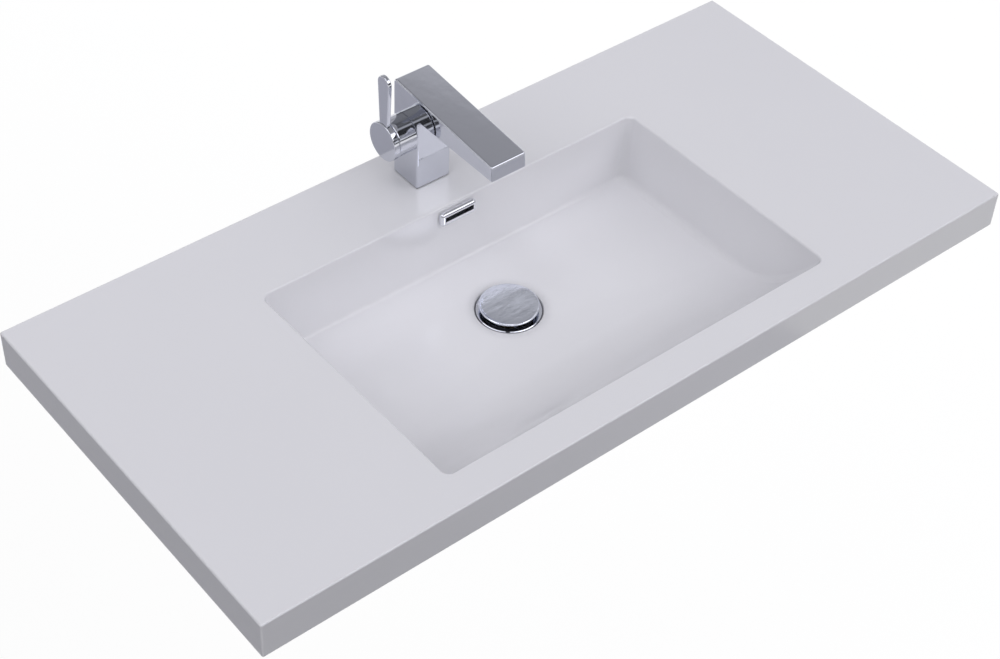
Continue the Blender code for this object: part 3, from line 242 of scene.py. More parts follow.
def settle(piece):
    """Applies a piece's modifiers, deletes its cutters and evens out its normals."""
    bpy.context.view_layer.update()
    graph = bpy.context.evaluated_depsgraph_get()
    mesh = bpy.data.meshes.new_from_object(piece.evaluated_get(graph))
    helpers = [m.object for m in piece.modifiers if m.type == "BOOLEAN"]
    piece.modifiers.clear()
    piece.data = mesh
    for helper in helpers:
        bpy.data.objects.remove(helper, do_unlink=True)
    shape = bmesh.new()
    shape.from_mesh(mesh)
    bmesh.ops.remove_doubles(shape, verts=shape.verts, dist=MERGE)
    shape.to_mesh(mesh)
    shape.free()
    smooth(mesh)
    normals = piece.modifiers.new("normals", "WEIGHTED_NORMAL")
    normals.keep_sharp = True
    normals.weight = NORMAL_WEIGHT
    return piece


def show(piece, look, body, *nodes):
    """Gives a piece its material, its body and its slot, and hides the CAD nodes it stands for."""
    piece.data.materials.clear()
    piece.data.materials.append(look)
    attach(piece, body)
    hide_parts(*nodes)
    return piece


# Materials.


class Net:
    """Builds a node material in a few words."""

    def __init__(self, name):
        self.material = bpy.data.materials.new(name)
        self.material.use_nodes = True
        self.tree = self.material.node_tree
        self.shader = self.tree.nodes["Principled BSDF"]
        self.place = self.tree.nodes.new("ShaderNodeTexCoord").outputs["Object"]
        self.bump = None

    def put(self, socket, value):
        if isinstance(value, bpy.types.NodeSocket):
            self.tree.links.new(value, socket)
        else:
            socket.default_value = value

    def set(self, **values):
        for name, value in values.items():
            self.put(self.shader.inputs[name.replace("_", " ")], value)

    def math(self, operation, a, b=0.0, clamp=False):
        node = self.tree.nodes.new("ShaderNodeMath")
        node.operation = operation
        node.use_clamp = clamp
        for socket, value in zip(node.inputs, (a, b)):
            self.put(socket, value)
        return node.outputs[0]

    def product(self, first, *others):
        for other in others:
            first = self.math("MULTIPLY", first, other)
        return first

    def noise(self, scale, detail, rough=0.5, stretch=None, *, seed):
        node = self.tree.nodes.new("ShaderNodeTexNoise")
        node.noise_dimensions = "4D"
        node.inputs["Scale"].default_value = scale
        node.inputs["Detail"].default_value = detail
        node.inputs["Roughness"].default_value = rough
        node.inputs["W"].default_value = seed
        self.put(node.inputs["Vector"], self.stretched(stretch))
        return node.outputs["Fac"]

    def cells(self, scale):
        node = self.tree.nodes.new("ShaderNodeTexVoronoi")
        node.inputs["Scale"].default_value = scale
        self.put(node.inputs["Vector"], self.place)
        return node.outputs["Distance"]

    def stretched(self, stretch):
        if stretch is None:
            return self.place
        node = self.tree.nodes.new("ShaderNodeMapping")
        node.inputs["Scale"].default_value = stretch
        self.put(node.inputs["Vector"], self.place)
        return node.outputs[0]

    def axes(self):
        node = self.tree.nodes.new("ShaderNodeSeparateXYZ")
        self.put(node.inputs[0], self.place)
        return node.outputs

    def distance(self, first, second, centre):
        """Distance from an axis, given the two coordinates square to it."""
        a = self.math("SUBTRACT", first, centre[0])
        b = self.math("SUBTRACT", second, centre[1])
        return self.math("SQRT", self.math("ADD", self.product(a, a), self.product(b, b)))

    def ramp(self, value, *stops):
        node = self.tree.nodes.new("ShaderNodeValToRGB")
        elements = node.color_ramp.elements
        while len(elements) < len(stops):
            elements.new(0.5)
        for element, (place, level) in zip(elements, stops):
            element.position = place
            colour = level if isinstance(level, tuple) else (level, level, level)
            element.color = (*colour, 1.0)
        self.put(node.inputs["Fac"], value)
        return node.outputs["Color"]

    def span(self, value, low, high, to_low=0.0, to_high=1.0, smooth=True):
        node = self.tree.nodes.new("ShaderNodeMapRange")
        node.interpolation_type = "SMOOTHSTEP" if smooth else "LINEAR"
        for name, number in (("From Min", low), ("From Max", high), ("To Min", to_low), ("To Max", to_high)):
            node.inputs[name].default_value = number
        self.put(node.inputs["Value"], value)
        return node.outputs["Result"]

    def mix(self, factor, first, second, blend="MIX"):
        node = self.tree.nodes.new("ShaderNodeMix")
        node.data_type = "RGBA"
        node.blend_type = blend
        self.put(node.inputs["Factor"], factor)
        for socket, value in ((node.inputs["A"], first), (node.inputs["B"], second)):
            self.put(socket, (*value, 1.0) if isinstance(value, tuple) else value)
        return node.outputs["Result"]

    def relief(self, height, distance, strength):
        node = self.tree.nodes.new("ShaderNodeBump")
        node.inputs["Strength"].default_value = strength
        node.inputs["Distance"].default_value = distance
        self.put(node.inputs["Height"], height)
        if self.bump is not None:
            self.put(node.inputs["Normal"], self.bump)
        self.bump = node.outputs["Normal"]
        self.put(self.shader.inputs["Normal"], self.bump)

    def either(self, factor, first, second):
        """Mixes two shaders."""
        node = self.tree.nodes.new("ShaderNodeMixShader")
        for socket, value in zip(node.inputs, (factor, first, second)):
            self.put(socket, value)
        return node.outputs[0]


def dimmed(tone, share):
    return tuple(c * share for c in tone)


def gel_coat():
    """A glossy white coat, faintly cloudy, with painted shade round the rim of the waste's recess, where the
    coat is also a little rougher like scale.
    """
    net = Net("gel_coat")
    x, y, z = net.axes()
    cloud = net.noise(7.0, detail=2.0, seed=1.0)
    pale = net.mix(cloud, (0.845, 0.842, 0.862), (0.865, 0.862, 0.882))
    # Painted shade: a spotty ring, darkened to grey, round the rim of the waste's recess. The variable scale
    # carries it, and only the roughness it adds stands for real scale.
    near = net.span(net.distance(x, y, (0.0, DRAIN_Y)), 0.037, 0.052, 1.0, 0.0)
    low = net.span(z, DRAIN_Z, FLOOR_Z + 0.004, 1.0, 0.0)
    scale = net.product(near, low, net.noise(160.0, detail=5.0, rough=0.65, seed=2.0))
    net.set(Base_Color=net.mix(net.product(scale, 0.42), pale, (0.40, 0.40, 0.43)))
    smear = net.noise(18.0, detail=4.0, rough=0.6, stretch=(1.0, 0.35, 1.0), seed=3.0)
    rough = net.span(smear, 0.3, 0.75, 0.14, 0.22)
    net.set(Roughness=net.math("ADD", rough, net.product(scale, 0.05)))
    net.set(Coat_Weight=0.25, Coat_Roughness=0.08, Coat_IOR=1.5, IOR=1.46)
    net.relief(net.noise(11.0, detail=1.5, rough=0.4, seed=4.0), 0.0016, 0.25)
    net.relief(net.noise(260.0, detail=1.0, rough=0.4, seed=5.0), 0.00001, 0.3)
    return net.material


def chrome(name="chrome", tone=(0.66, 0.675, 0.73), rough=0.05, wet=0.0):
    """Polished chrome with a thin film of smudges. wet adds dried streaks and a wavy film of water."""
    net = Net(name)
    smudge = net.noise(38.0, detail=4.0, rough=0.62, seed=6.0)
    film = net.span(smudge, 0.5, 0.78, 0.0, 1.0)
    fine = net.noise(900.0, detail=2.0, stretch=(1.0, 1.0, 0.12), seed=7.0)
    marks = net.product(net.span(net.cells(210.0), 0.03, 0.09, 1.0, 0.0), film)
    level = net.math("ADD", net.span(film, 0.0, 1.0, rough, rough + 0.055), net.product(marks, 0.10))
    net.set(Metallic=1.0, Roughness=net.math("ADD", level, net.product(fine, 0.015)))
    colour = net.mix(net.product(film, 0.6), tone, dimmed(tone, 0.93))
    if wet:
        streaks = net.noise(75.0, detail=5.0, rough=0.62, stretch=(0.45, 1.5, 1.0), seed=17.0)
        colour = net.mix(net.product(net.span(streaks, 0.42, 0.66), wet), colour, dimmed(tone, 0.62))
    net.set(Base_Color=colour)
    net.relief(net.noise(55.0, detail=2.0, rough=0.4, seed=8.0), 0.00025, 0.22)
    if wet:
        waves = net.noise(110.0, detail=4.0, rough=0.6, stretch=(0.5, 1.4, 1.0), seed=18.0)
        net.relief(waves, 0.0009, wet)
    return net.material


def metal(name, tone, rough):
    """Turned metal with fine tool lines and a slight tarnish."""
    net = Net(name)
    lines = net.noise(60.0, detail=3.0, rough=0.6, stretch=(1.0, 1.0, 60.0), seed=9.0)
    tarnish = net.noise(90.0, detail=4.0, rough=0.6, seed=10.0)
    net.set(Metallic=1.0, Roughness=net.span(tarnish, 0.3, 0.75, rough, rough + 0.18))
    net.set(Base_Color=net.mix(net.span(tarnish, 0.45, 0.8), tone, dimmed(tone, 0.72)))
    net.relief(lines, 0.00006, 0.5)
    return net.material


def rubber():
    net = Net("rubber")
    dust = net.span(net.noise(120.0, detail=5.0, rough=0.7, seed=11.0), 0.5, 0.8)
    net.set(Base_Color=net.mix(net.product(dust, 0.5), (0.018, 0.018, 0.02), (0.075, 0.075, 0.08)))
    net.set(Roughness=net.span(dust, 0.0, 1.0, 0.55, 0.8))
    net.relief(net.noise(1500.0, detail=3.0, rough=0.6, seed=12.0), 0.00006, 0.5)
    return net.material


def plastic(name, tone, rough=0.42):
    net = Net(name)
    flow = net.noise(70.0, detail=3.0, stretch=(1.0, 1.0, 3.0), seed=13.0)
    net.set(Base_Color=net.mix(flow, dimmed(tone, 0.94), tone))
    net.set(Roughness=net.span(flow, 0.3, 0.7, rough, rough + 0.14))
    net.relief(net.noise(1800.0, detail=2.0, rough=0.6, seed=14.0), 0.00004, 0.5)
    return net.material


GEL = gel_coat()
CHROME = chrome()
# Painted light: the overflow's trim gets a lighter copy of the tap's chrome, which makes it look more
# brightly lit.
LIGHTENED_CHROME = chrome("lightened_chrome", (0.80, 0.81, 0.85), 0.12)
# Painted light: the plug gets a lighter, bluer copy of the tap's chrome, which makes it look more brightly
# lit; its dried streaks and film of water are its own.
LIGHTENED_WET_CHROME = chrome("lightened_wet_chrome", (0.84, 0.87, 0.955), 0.06, 0.55)
STEEL = metal("steel", (0.50, 0.50, 0.51), 0.26)
LOOKS = {
    "gel_coat": GEL,
    "chrome": CHROME,
    "brass": metal("brass", (0.62, 0.45, 0.20), 0.24),
    "steel": STEEL,
    "rubber": rubber(),
    "grey_plastic": plastic("grey_plastic", (0.15, 0.155, 0.165)),
    "white_plastic": plastic("white_plastic", (0.66, 0.66, 0.63)),
    "ceramic": plastic("ceramic", (0.78, 0.75, 0.69), 0.2),
}
for node_name, node in NODES.items():
    node.data.materials.clear()
    node.data.materials.append(LOOKS[SLOTS[node_name]])


# The cast top.

CORNER_STEPS, SIDE_STEPS, RIM_STEPS, LIP_STEPS = 12, 12, 6, 4
CORNER_SPREAD = QUARTER / 3
WALL_SHARES = (
    1, 0.93, 0.86, 0.78, 0.7, 0.62, 0.55, 0.48, 0.41, 0.345, 0.28, 0.235, 0.19, 0.15, 0.122, 0.107,
    0.09, 0.074, 0.06, 0.047, 0.035, 0.025, 0.016, 0.009, 0.004, 0.001, 0,
)
POCKETS = (
    ((-0.484, -0.445, -0.01), (-0.280, -0.009, 0.033)),
    ((0.280, -0.445, -0.01), (0.484, -0.009, 0.033)),
    ((-0.270, -0.084, -0.01), (-0.042, -0.009, 0.033)),
    ((0.042, -0.084, -0.01), (0.270, -0.009, 0.033)),
    ((-0.032, -0.081, -0.01), (0.032, -0.009, 0.029)),
)
# Places inside the deck, the bowl's floor, the duct's shaft and the bowl, where pieces overlap.
IN_DECK, IN_FLOOR, IN_SHAFT, IN_BOWL = 0.040, -0.0455, -0.091, -0.114
SHELL_DROP = 0.007
SLEEVE_HALF, SLEEVE_LOW = 0.02275, 0.0277
# How far a cutter stands out of what it cuts.
CLEAR = 0.004


def rounded_rectangle(left, right, front, back, corner, height):
    """A ring of points round a rectangle with round corners, anticlockwise from its right side."""
    arcs = []
    for quarter, (side, end) in enumerate(((1, 1), (-1, 1), (-1, -1), (1, -1))):
        x = right - corner if side > 0 else left + corner
        y = back - corner if end > 0 else front + corner
        start = quarter * QUARTER
        arcs.append(arc((x, y), corner, start, start + QUARTER, CORNER_STEPS))
    ring = []
    for quarter in range(4):
        ring += arcs[quarter]
        start, end = Vector(arcs[quarter][-1]), Vector(arcs[(quarter + 1) % 4][0])
        ring += [tuple(start.lerp(end, i / SIDE_STEPS)) for i in range(1, SIDE_STEPS)]
    return [(x, y, height) for x, y in ring]


def matching_circle(radius, height):
    """A ring round the waste, with as many points as a rounded rectangle's."""
    ring = []
    for quarter in range(4):
        first = quarter * QUARTER + (QUARTER - CORNER_SPREAD) / 2
        angles = [first + CORNER_SPREAD * i / CORNER_STEPS for i in range(CORNER_STEPS + 1)]
        rest = QUARTER - CORNER_SPREAD
        angles += [angles[-1] + rest * i / SIDE_STEPS for i in range(1, SIDE_STEPS)]
        ring += [(radius * math.cos(a), DRAIN_Y + radius * math.sin(a), height) for a in angles]
    return ring


def inset(height, draft, cove):
    """How far a steep wall stands in from the rim at a height over the floor."""
    if height >= cove:
        return draft * (WALL_HEIGHT - height) / (WALL_HEIGHT - cove)
    return draft + cove - math.sqrt(max(cove * cove - (cove - height) ** 2, 0))


def front_inset(height):
    def reach(rise):
        return math.sqrt(2 * FRONT_SWEEP * rise - rise * rise)

    return reach(WALL_HEIGHT) - reach(height)


def bowl_rings(grow):
    """The bowl's rings from the rim to the floor, all moved outwards by a distance."""

    def ring(depth, side, back, front, corner):
        half = BOWL_HALF - side + grow
        low, high = RIM_FRONT + front - grow, RIM_BACK - back + grow
        return rounded_rectangle(-half, half, low, high, corner + grow, DECK - depth - grow)

    rings = []
    for i in range(RIM_STEPS):
        angle = QUARTER * i / RIM_STEPS
        flare = RIM_RADIUS * (1 - math.sin(angle))
        depth = RIM_RADIUS * (1 - math.cos(angle))
        rings.append(ring(depth, -flare, -flare, -flare, RIM_CORNER + flare))
    for share in WALL_SHARES:
        height = WALL_HEIGHT * share
        side, back = inset(height, SIDE_DRAFT, SIDE_COVE), inset(height, BACK_DRAFT, BACK_COVE)
        rounding = (FLOOR_CORNER - RIM_CORNER) * side / (SIDE_DRAFT + SIDE_COVE)
        depth = RIM_RADIUS + WALL_HEIGHT - height
        rings.append(ring(depth, side, back, front_inset(height), RIM_CORNER + rounding))
    return rings


def at_height(ring, height):
    return [(x, y, height) for x, y, _ in ring]


def lip_ring(angle):
    radius = RECESS_RADIUS + RECESS_LIP * (1 - math.sin(angle))
    return matching_circle(radius, DRAIN_Z - RECESS_LIP * (1 - math.cos(angle)))


def make_casting():
    slab = block("basin_top", (-HALF, FRONT, 0), (HALF, BACK, DECK))
    top = soften(slab, SLAB_EDGE, 6)
    for i, (low, high) in enumerate(POCKETS):
        cut(top, soften(block(f"pocket_{i}", low, high), POCKET_CORNER, 4))

    # The bowl's shell, the boss under the waste and the case of the overflow's duct.
    rings = bowl_rings(BOWL_WALL)[RIM_STEPS:]
    join(top, loft("shell", [at_height(rings[0], DECK - SHELL_DROP)] + rings[1:]))
    join(top, rod("boss", BOSS_RADIUS, DRAIN_Z - BOSS_DROP, IN_FLOOR, (0, DRAIN_Y), sides=96))
    case, case_back, case_foot = DUCT_HALF + DUCT_WALL, DUCT_BACK + DUCT_WALL, DUCT_FLOOR - DUCT_WALL
    join(top, block("shaft_case", (-case, RIM_BACK, case_foot), (case, case_back, IN_DECK)))
    join(top, block("floor_case", (-case, DRAIN_Y, case_foot), (case, IN_SHAFT, IN_FLOOR)))

    # The bowl's hollow with the waste's recess, the duct and the holes.
    rings = bowl_rings(0)
    lip = [lip_ring(QUARTER * i / LIP_STEPS) for i in range(LIP_STEPS + 1)]
    foot = matching_circle(RECESS_RADIUS, DRAIN_Z - RECESS_DEPTH)
    cut(top, loft("hollow", [at_height(rings[0], DECK + CLEAR)] + rings + lip + [foot]))
    shaft = ((-DUCT_HALF, DUCT_FRONT, DUCT_FLOOR), (DUCT_HALF, DUCT_BACK, DUCT_TOP))
    cut(top, block("duct_shaft", *shaft))
    way = ((-DUCT_FLOOR_HALF, DRAIN_Y, DUCT_FLOOR), (DUCT_FLOOR_HALF, DUCT_BACK, DUCT_CEILING))
    cut(top, block("duct_floor", *way))
    cut(top, rod("waste_hole", WASTE_HOLE, DRAIN_Z - 0.05, DRAIN_Z, (0, DRAIN_Y)))
    cut(top, rod("tap_hole", TAP_HOLE, 0.02, DECK + CLEAR, (0, TAP_Y)))
    cut(top, block("slot_hole", (-SLEEVE_HALF, IN_BOWL, SLEEVE_LOW), (SLEEVE_HALF, IN_SHAFT, DUCT_TOP)))
    show(settle(top), GEL, "basin", "basin_casting")


# The overflow, the waste and the plug.


def make_overflow():
    low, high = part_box("overflow_trim")
    back = high[1] - COLLAR_LENGTH
    # Its back edges stay sharp, since the part that the bevel rounds there is cut off.
    spare = 0.006
    trim = soften(block("overflow_cover", low, (high[0], back + spare, high[2])), TRIM_EDGE, 8)
    cut(trim, block("spare_back", (-0.05, back, -0.01), (0.05, back + 0.02, 0.08)))
    half, foot, head = SLOT_HALF + COLLAR_WALL, SLOT_LOW - COLLAR_WALL, SLOT_HIGH + COLLAR_WALL
    join(trim, block("collar", (-half, -0.112, foot), (half, -0.1006, head)))
    cut(trim, block("slot", (-SLOT_HALF, -0.13, SLOT_LOW), (SLOT_HALF, -0.09, SLOT_HIGH)))
    show(settle(trim), LIGHTENED_CHROME, "basin", "overflow_trim")


def make_plug():
    rim, roof, edge = CAP_LIFT, CAP_LIFT + CAP_RIM, CAP_RADIUS - CAP_EDGE
    shoulder, groove, boss, socket = 0.0014, 0.0288, 0.0062, 0.0032
    boss_foot, socket_top = rim - 0.002, rim + 0.0028
    dome_steps = 24
    dome = [edge * math.sin(QUARTER * i / dome_steps) for i in range(dome_steps + 1)]
    profile = [(r, roof + CAP_RISE * math.sqrt(max(1 - (r / edge) ** 2, 0))) for r in dome]
    profile += arc((edge, rim + shoulder), CAP_EDGE, QUARTER, 0, 3)[1:]
    profile += arc((edge, rim + CAP_EDGE), CAP_EDGE, 0, -QUARTER, 3)
    profile += [(groove, rim), (groove, roof), (boss, roof), (boss, boss_foot)]
    profile += [(socket, boss_foot), (socket, socket_top), (0, socket_top)]
    at_drain = Matrix.Translation((0, DRAIN_Y, DRAIN_Z))
    cap = turned("plug_cap", profile, at_drain, ring=False)
    show(settle(cap), LIGHTENED_WET_CHROME, "plug", "waste_cap")


def make_spring():
    """The coil under the plunger, built at one length; the real coil shortens as the plug is pressed."""
    low, high, press, wire = SPRING_FOOT, SPRING_TOP, PLUG_TRAVEL, SPRING_WIRE
    steps, sides = 24, 10
    start, end = low + wire, high - wire
    angles = [2 * math.pi * k / sides for k in range(sides)]
    rings = []
    for i in range(SPRING_TURNS * steps + 1):
        a = 2 * math.pi * i / steps
        outward = Vector((math.cos(a), math.sin(a), 0))
        rise = start + (end - start) * i / (SPRING_TURNS * steps)
        middle = outward * SPRING_RADIUS + Vector((0, DRAIN_Y, rise))
        rings.append(
            [middle + outward * wire * math.cos(b) + Vector((0, 0, wire * math.sin(b))) for b in angles]
        )
    spring = loft("plug_spring", rings, 60)
    show(spring, STEEL, "basin", "clicker_spring")
    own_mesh(spring)


# The tap.


def in_tap(side=0.0):
    """A place whose Z axis is the cartridge's, from the tap's centre plane out to the left."""
    centre = Matrix.Translation((0, TAP_Y, AXIS_Z))
    return centre @ Matrix.Rotation(-QUARTER, 4, "Y") @ Matrix.Translation((0, 0, side))


def make_body():
    back, front, foot = COLUMN_HALF, -COLUMN_HALF, TAP_FOOT
    slope = math.atan((SPOUT_BACK_TOP - SPOUT_TIP_TOP) / (COLUMN_HALF - SPOUT_TIP))
    outline = [(back, foot - FOOT_SPARE)]
    outline += arc((back - BACK_ROUND, SPOUT_BACK_TOP - BACK_ROUND), BACK_ROUND, 0, QUARTER + slope, 12)
    outline += [(SPOUT_TIP + TIP_LEAN, SPOUT_TIP_TOP), (SPOUT_TIP, SPOUT_UNDER)]
    outline += arc((front - INNER_FILLET, SPOUT_UNDER - INNER_FILLET), INNER_FILLET, QUARTER, 0, 12)
    outline += [(front, foot - FOOT_SPARE)]
    turn = Matrix.Rotation(QUARTER, 4, "Z") @ Matrix.Rotation(QUARTER, 4, "X")
    side_on = Matrix.Translation((0, TAP_Y, DECK)) @ turn
    body = soften(plate("tap_column_and_spout", outline, COLUMN_WIDTH, side_on), BODY_EDGE, 5, 30)
    base = DECK + foot
    cut(body, block("spare_foot", (-0.04, TAP_Y - 0.04, 0.03), (0.04, TAP_Y + 0.04, base)))

    # The boss and the bores of the cartridge, the two inlets, the stud and the way to the mouth.
    axis = (TAP_Y, AXIS_Z)
    join(body, rod("boss", BODY_BOSS, BODY_BOSS_END, BORE_FLOOR, axis, "X", 96))
    cut(body, rod("bore", CARTRIDGE_BORE, -0.06, BORE_FLOOR, axis, "X", 96))
    cut(body, rod("nut_bore", NUT_BORE, -0.06, NUT_SHOULDER, axis, "X", 96))
    for name, aside in (("hot", INLET_SPREAD), ("cold", -INLET_SPREAD)):
        spot = (INLET_OFFSET, TAP_Y + aside)
        join(body, rod(name + "_tail", TAIL_RADIUS, base - TAIL_LENGTH, base + 0.010, spot, "Z", 48))
        cut(body, rod(name + "_rise", WAY_RADIUS, 0.03, WAY_TOP, spot, "Z", 32))
    cut(body, rod("stud_bore", STUD_BORE, 0.04, STUD_TOP, (-STUD_OFFSET, TAP_Y), "Z", 32))
    cut(body, rod("aerator_bore", MOUTH_RADIUS, 0.13, MOUTH_TOP, (0.0, MOUTH_Y), "Z", 64))
    channel = ((-CHANNEL_HALF, MOUTH_Y, CHANNEL_LOW), (CHANNEL_HALF, TAP_Y + 0.009, CHANNEL_HIGH))
    cut(body, block("channel", *channel))
    show(settle(body), CHROME, "basin", "tap_body")


def make_cover():
    edge, lip, inner, ceiling = 0.0016, 0.0003, 0.0211, COVER_FAR - 0.0017
    profile = [(COVER_EYE, COVER_FAR)]
    profile += arc((COVER_RADIUS - edge, COVER_FAR - edge), edge, QUARTER, 0, 8)
    profile += arc((COVER_RADIUS - lip, COVER_NEAR + lip), lip, 0, -QUARTER, 3)
    profile += [(inner, COVER_NEAR), (inner, ceiling), (COVER_EYE, ceiling)]
    cover = turned("cartridge_cover", profile, in_tap(), 128)
    show(settle(cover), CHROME, "basin", "barrel_cover")


def slot_in_tap(name, depth, half_width, low, high):
    """A box across the tap's axis, between two places out to the left and two heights over the axis."""
    near, far = depth
    return block(name, (-far, TAP_Y - half_width, AXIS_Z + low), (-near, TAP_Y + half_width, AXIS_Z + high))


def make_handle():
    outer_edge, inner_edge, boss = 0.0011, 0.0004, 0.0085
    profile = [(0, HUB_FAR)] + arc((HUB_RADIUS - outer_edge, HUB_FAR - outer_edge), outer_edge, QUARTER, 0, 6)
    profile += arc((HUB_RADIUS - inner_edge, HUB_NEAR + inner_edge), inner_edge, 0, -QUARTER, 3)
    profile += [(HUB_RIM, HUB_NEAR), (HUB_RIM, HUB_FLOOR), (boss, HUB_FLOOR)]
    profile += [(boss, HUB_NEAR - 0.002), (0, HUB_NEAR - 0.002)]
    hub = turned("handle_disc", profile, in_tap(), 128, ring=False)
    spindle, middle = 0.0038, LEVER_MIDDLE
    cut(hub, slot_in_tap("square", (0.04, HUB_FLOOR + 0.0003), spindle, -spindle, spindle))
    cut(hub, rod("grub_way", 0.0018, AXIS_Z - 0.03, AXIS_Z, (-HUB_NEAR - 0.0024, TAP_Y), "Z", 24))
    cut(hub, slot_in_tap("mortise", (middle - 0.0018, middle + 0.0018), 0.0043, 0.0173, 0.0275))
    show(settle(hub), CHROME, "lever", "handle_hub")

    tip, foot = 0.00975, 0.0069
    outline = [(HUB_RIM, foot), (HUB_RIM, -foot)] + arc((LEVER_TOP - tip, 0), tip, -QUARTER, QUARTER, 24)
    blade = soften(plate("lever_arm", outline, LEVER_THICKNESS, in_tap(middle)), 0.0012, 5)
    cut(blade, rod("seat", HUB_RADIUS + 0.0003, -0.06, -0.04, (TAP_Y, AXIS_Z), "X", 128))
    join(blade, slot_in_tap("tenon", (middle - 0.0015, middle + 0.0015), 0.004, 0.0216, 0.0253))
    show(settle(blade), CHROME, "lever", "lever_blade")


make_casting()
make_overflow()
make_plug()
make_spring()
make_body()
make_cover()
make_handle()


# The studio.

SPREAD, FLOOR_DROP, CARD_DROP = 6.0, 0.85, 0.3
GLOW, GLOW_SHARE = 1.19, 0.8
COOL = (0.95, 0.95, 1.0)
WHITE = (1.0, 1.0, 1.0)


def sheet(name, left, right, front, back, height):
    mesh = bpy.data.meshes.new(name)
    corners = [(left, front, height), (right, front, height), (right, back, height), (left, back, height)]
    mesh.from_pydata(corners, [], [(0, 1, 2, 3)])
    return mesh


def make_floor():
    """Paper under the basin, darker on the left and bright where it is seen directly or mirrored."""
    mesh = sheet("floor", -SPREAD, SPREAD, -SPREAD, SPREAD, -FLOOR_DROP)
    floor = link("floor", mesh)
    paper = Net("floor_paper")
    grain = paper.noise(3.0, detail=3.0, seed=15.0)
    shade = paper.mix(paper.span(paper.axes()[0], -1.1, 0.9), (0.10, 0.10, 0.10), (0.30, 0.30, 0.30))
    paper.set(Base_Color=paper.mix(paper.product(grain, 0.12), shade, (0.5, 0.5, 0.5)), Roughness=0.9)
    path = paper.tree.nodes.new("ShaderNodeLightPath")
    glow = paper.tree.nodes.new("ShaderNodeEmission")
    glow.inputs["Strength"].default_value = GLOW
    seen = paper.math("MAXIMUM", path.outputs["Is Camera Ray"], path.outputs["Is Glossy Ray"])
    seen = paper.math("MAXIMUM", seen, path.outputs["Is Transmission Ray"])
    surface = paper.either(paper.product(seen, GLOW_SHARE), paper.shader.outputs[0], glow.outputs[0])

    # Clear from below, so that the basin's underside can be looked at.
    clear = paper.tree.nodes.new("ShaderNodeBsdfTransparent")
    facing = paper.tree.nodes.new("ShaderNodeNewGeometry")
    surface = paper.either(facing.outputs["Backfacing"], surface, clear.outputs[0])
    paper.put(paper.tree.nodes["Material Output"].inputs["Surface"], surface)
    mesh.materials.append(paper.material)


class Sky(Net):
    """The same words for the world: a level for each direction."""

    def __init__(self):
        self.material = bpy.data.worlds.new("studio")
        self.material.use_nodes = True
        self.tree = self.material.node_tree
        self.place = self.tree.nodes.new("ShaderNodeTexCoord").outputs["Generated"]

    def around(self, turn, levels):
        """A soft level for each sixth of a turn."""
        width, soft = 1 / len(levels), 0.022
        stops = []
        for i, grey in enumerate(levels):
            level = dimmed(COOL, grey)
            stops += [(i * width + soft, level), ((i + 1) * width - soft, level)]
        first = dimmed(COOL, (levels[0] + levels[-1]) / 2)
        return self.ramp(turn, (0.0, first), *stops, (1.0, first))


# Levels round the basin in three bands that rise from the horizon, by sixths of a turn, anticlockwise
# from the back right, where the camera's view of a level mirror leads.
FIRST_SIXTH = math.radians(19)
LOW_LEVELS = (0.60, 0.12, 0.12, 0.12, 0.26, 0.33)
MID_LEVELS = (0.42, 0.55, 1.50, 1.15, 2.40, 0.93)
HIGH_LEVELS = (0.36, 0.25, 2.90, 1.40, 0.45, 0.35)
TOP_LEVEL = (0.74, 0.74, 0.78)
# Behind the basin the levels change with the height too, for the spout's top.
BACK_FALL = (
    (0.0, 1.0), (0.55, 1.0), (0.64, 1.22), (0.695, 1.36), (0.703, 1.16), (0.712, 0.95), (0.722, 0.93),
    (0.74, 0.90), (0.80, 1.0), (1.0, 1.0),
)
# A dark gap between the left softboxes, with two small bright ones in it, from the back to the front.
GAP_RIGHT = 0.474
GAP_LEVELS = (
    (0.0, 0.30), (0.16, 0.26), (0.30, 0.14), (0.42, 0.22), (0.53, 0.10), (0.58, 0.6), (0.64, 0.6),
    (0.68, 0.05), (0.88, 0.04), (0.905, 0.5), (0.93, 0.5), (0.95, 0.04), (1.0, 0.04),
)
# A dark line low at the front right.
LINE_LEVEL = (0.05, 0.05, 0.055)


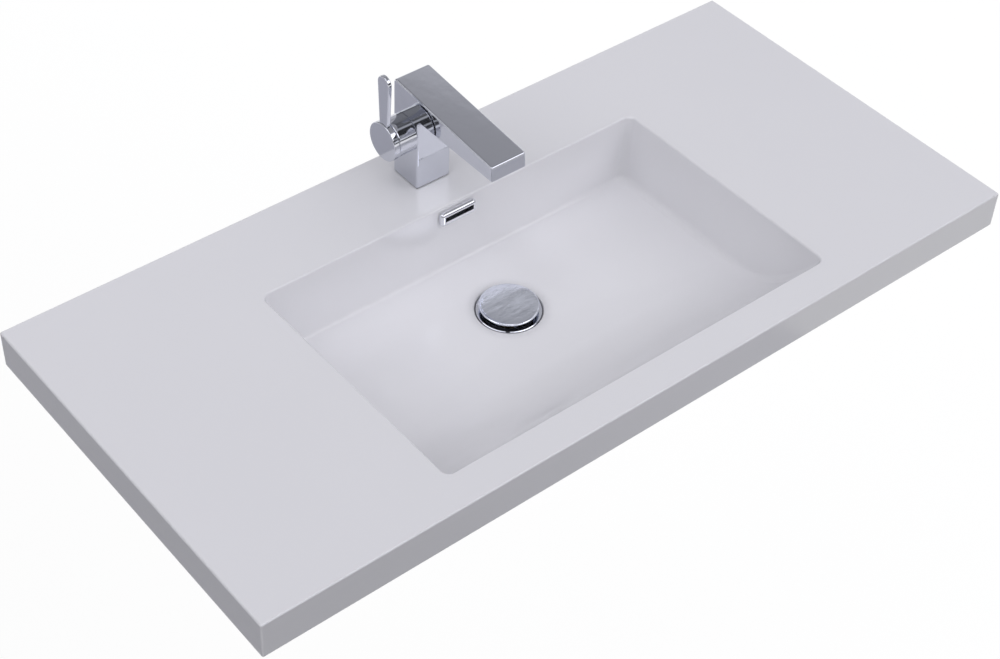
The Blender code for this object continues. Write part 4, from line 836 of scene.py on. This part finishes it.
def make_world():
    sky = Sky()
    scene.world = sky.material
    right, away, high = sky.axes()
    turn = sky.math("SUBTRACT", sky.math("ARCTAN2", away, right), FIRST_SIXTH)
    turn = sky.math("FRACT", sky.math("DIVIDE", turn, 2 * math.pi))
    low_band, mid_band = sky.around(turn, LOW_LEVELS), sky.around(turn, MID_LEVELS)
    high_band = sky.around(turn, HIGH_LEVELS)
    level = sky.mix(sky.span(high, 0.38, 0.46), low_band, mid_band)
    level = sky.mix(sky.span(high, 0.74, 0.82), level, high_band)
    level = sky.mix(sky.span(high, 0.95, 0.97), level, TOP_LEVEL)
    behind = sky.product(sky.span(away, 0.2, 0.4), sky.span(right, 0.1, 0.3))
    level = sky.mix(behind, level, sky.mix(1.0, level, sky.ramp(high, *BACK_FALL), "MULTIPLY"))

    gap = sky.math("ABSOLUTE", sky.math("ADD", right, GAP_RIGHT))
    gap = sky.product(sky.span(gap, 0.055, 0.085, 1.0, 0.0), sky.span(high, 0.15, 0.25))
    level = sky.mix(gap, level, sky.ramp(sky.span(away, 0.6, -0.9, smooth=False), *GAP_LEVELS))
    line = sky.product(sky.span(away, -0.78, -0.70, 1.0, 0.0), sky.span(right, 0.30, 0.40))
    line = sky.product(line, sky.span(high, 0.29, 0.35, 1.0, 0.0))
    level = sky.mix(line, level, LINE_LEVEL)

    # White for the camera, and below the horizon in reflections.
    path = sky.tree.nodes.new("ShaderNodeLightPath")
    seen = sky.math("MAXIMUM", path.outputs["Is Glossy Ray"], path.outputs["Is Transmission Ray"])
    seen = sky.product(seen, sky.span(high, 0.0, 0.05, 1.0, 0.0))
    seen = sky.math("MAXIMUM", seen, path.outputs["Is Camera Ray"])
    background = sky.tree.nodes["Background"]
    sky.put(background.inputs["Color"], sky.mix(seen, level, WHITE))
    background.inputs["Strength"].default_value = 1.0


def card(name, near, far, dark, pale, from_x, to_x):
    """A card that only reflections show, from dark on its left to pale on its right."""
    (left, front), (right, back) = near, far
    mesh = sheet(name, left, right, front, back, -CARD_DROP)
    felt = Net(name + "_felt")
    rise = felt.span(felt.axes()[0], from_x, to_x)
    patches = felt.span(felt.noise(2.5, detail=2.0, seed=16.0), 0.3, 0.7, -0.15, 0.15)
    felt.set(Base_Color=felt.mix(felt.math("ADD", rise, patches, clamp=True), dark, pale), Roughness=0.9)
    mesh.materials.append(felt.material)
    piece = link(name, mesh)
    piece.visible_camera = piece.visible_diffuse = piece.visible_shadow = piece.visible_transmission = False


make_floor()
make_world()
# Low beside the left end, and low before the front edge.
card("left_card", (-1.15, -0.5), (-0.12, 0.75), (0.52, 0.52, 0.55), (0.66, 0.66, 0.70), -1.15, -0.12)
card("front_card", (-0.45, -1.0), (0.45, -0.52), (0.10, 0.10, 0.10), (0.75, 0.75, 0.78), -0.25, 0.35)


# The camera, solved from the slab's corners in the photo.

CAMERA_PLACE = (-1.0568, -1.4004, 1.4595)
RIGHT, UP, AHEAD = (0.77543, -0.63036, 0.03689), (0.41687, 0.55494, 0.71990), (0.47427, 0.54285, -0.69310)
FOCAL_PIXELS, PHOTO_WIDTH, SENSOR, FARTHEST = 1977.1, 1000.0, 36.0, 30.0

camera = bpy.data.objects.new("camera", bpy.data.cameras.new("camera"))
scene.collection.objects.link(camera)
facing = Matrix([[RIGHT[i], UP[i], -AHEAD[i]] for i in range(3)]).to_4x4()
camera.matrix_world = Matrix.Translation(CAMERA_PLACE) @ facing
camera.data.sensor_width = SENSOR
camera.data.lens = FOCAL_PIXELS * SENSOR / PHOTO_WIDTH
camera.data.clip_end = FARTHEST
scene.camera = camera
scene.view_settings.view_transform = "Standard"
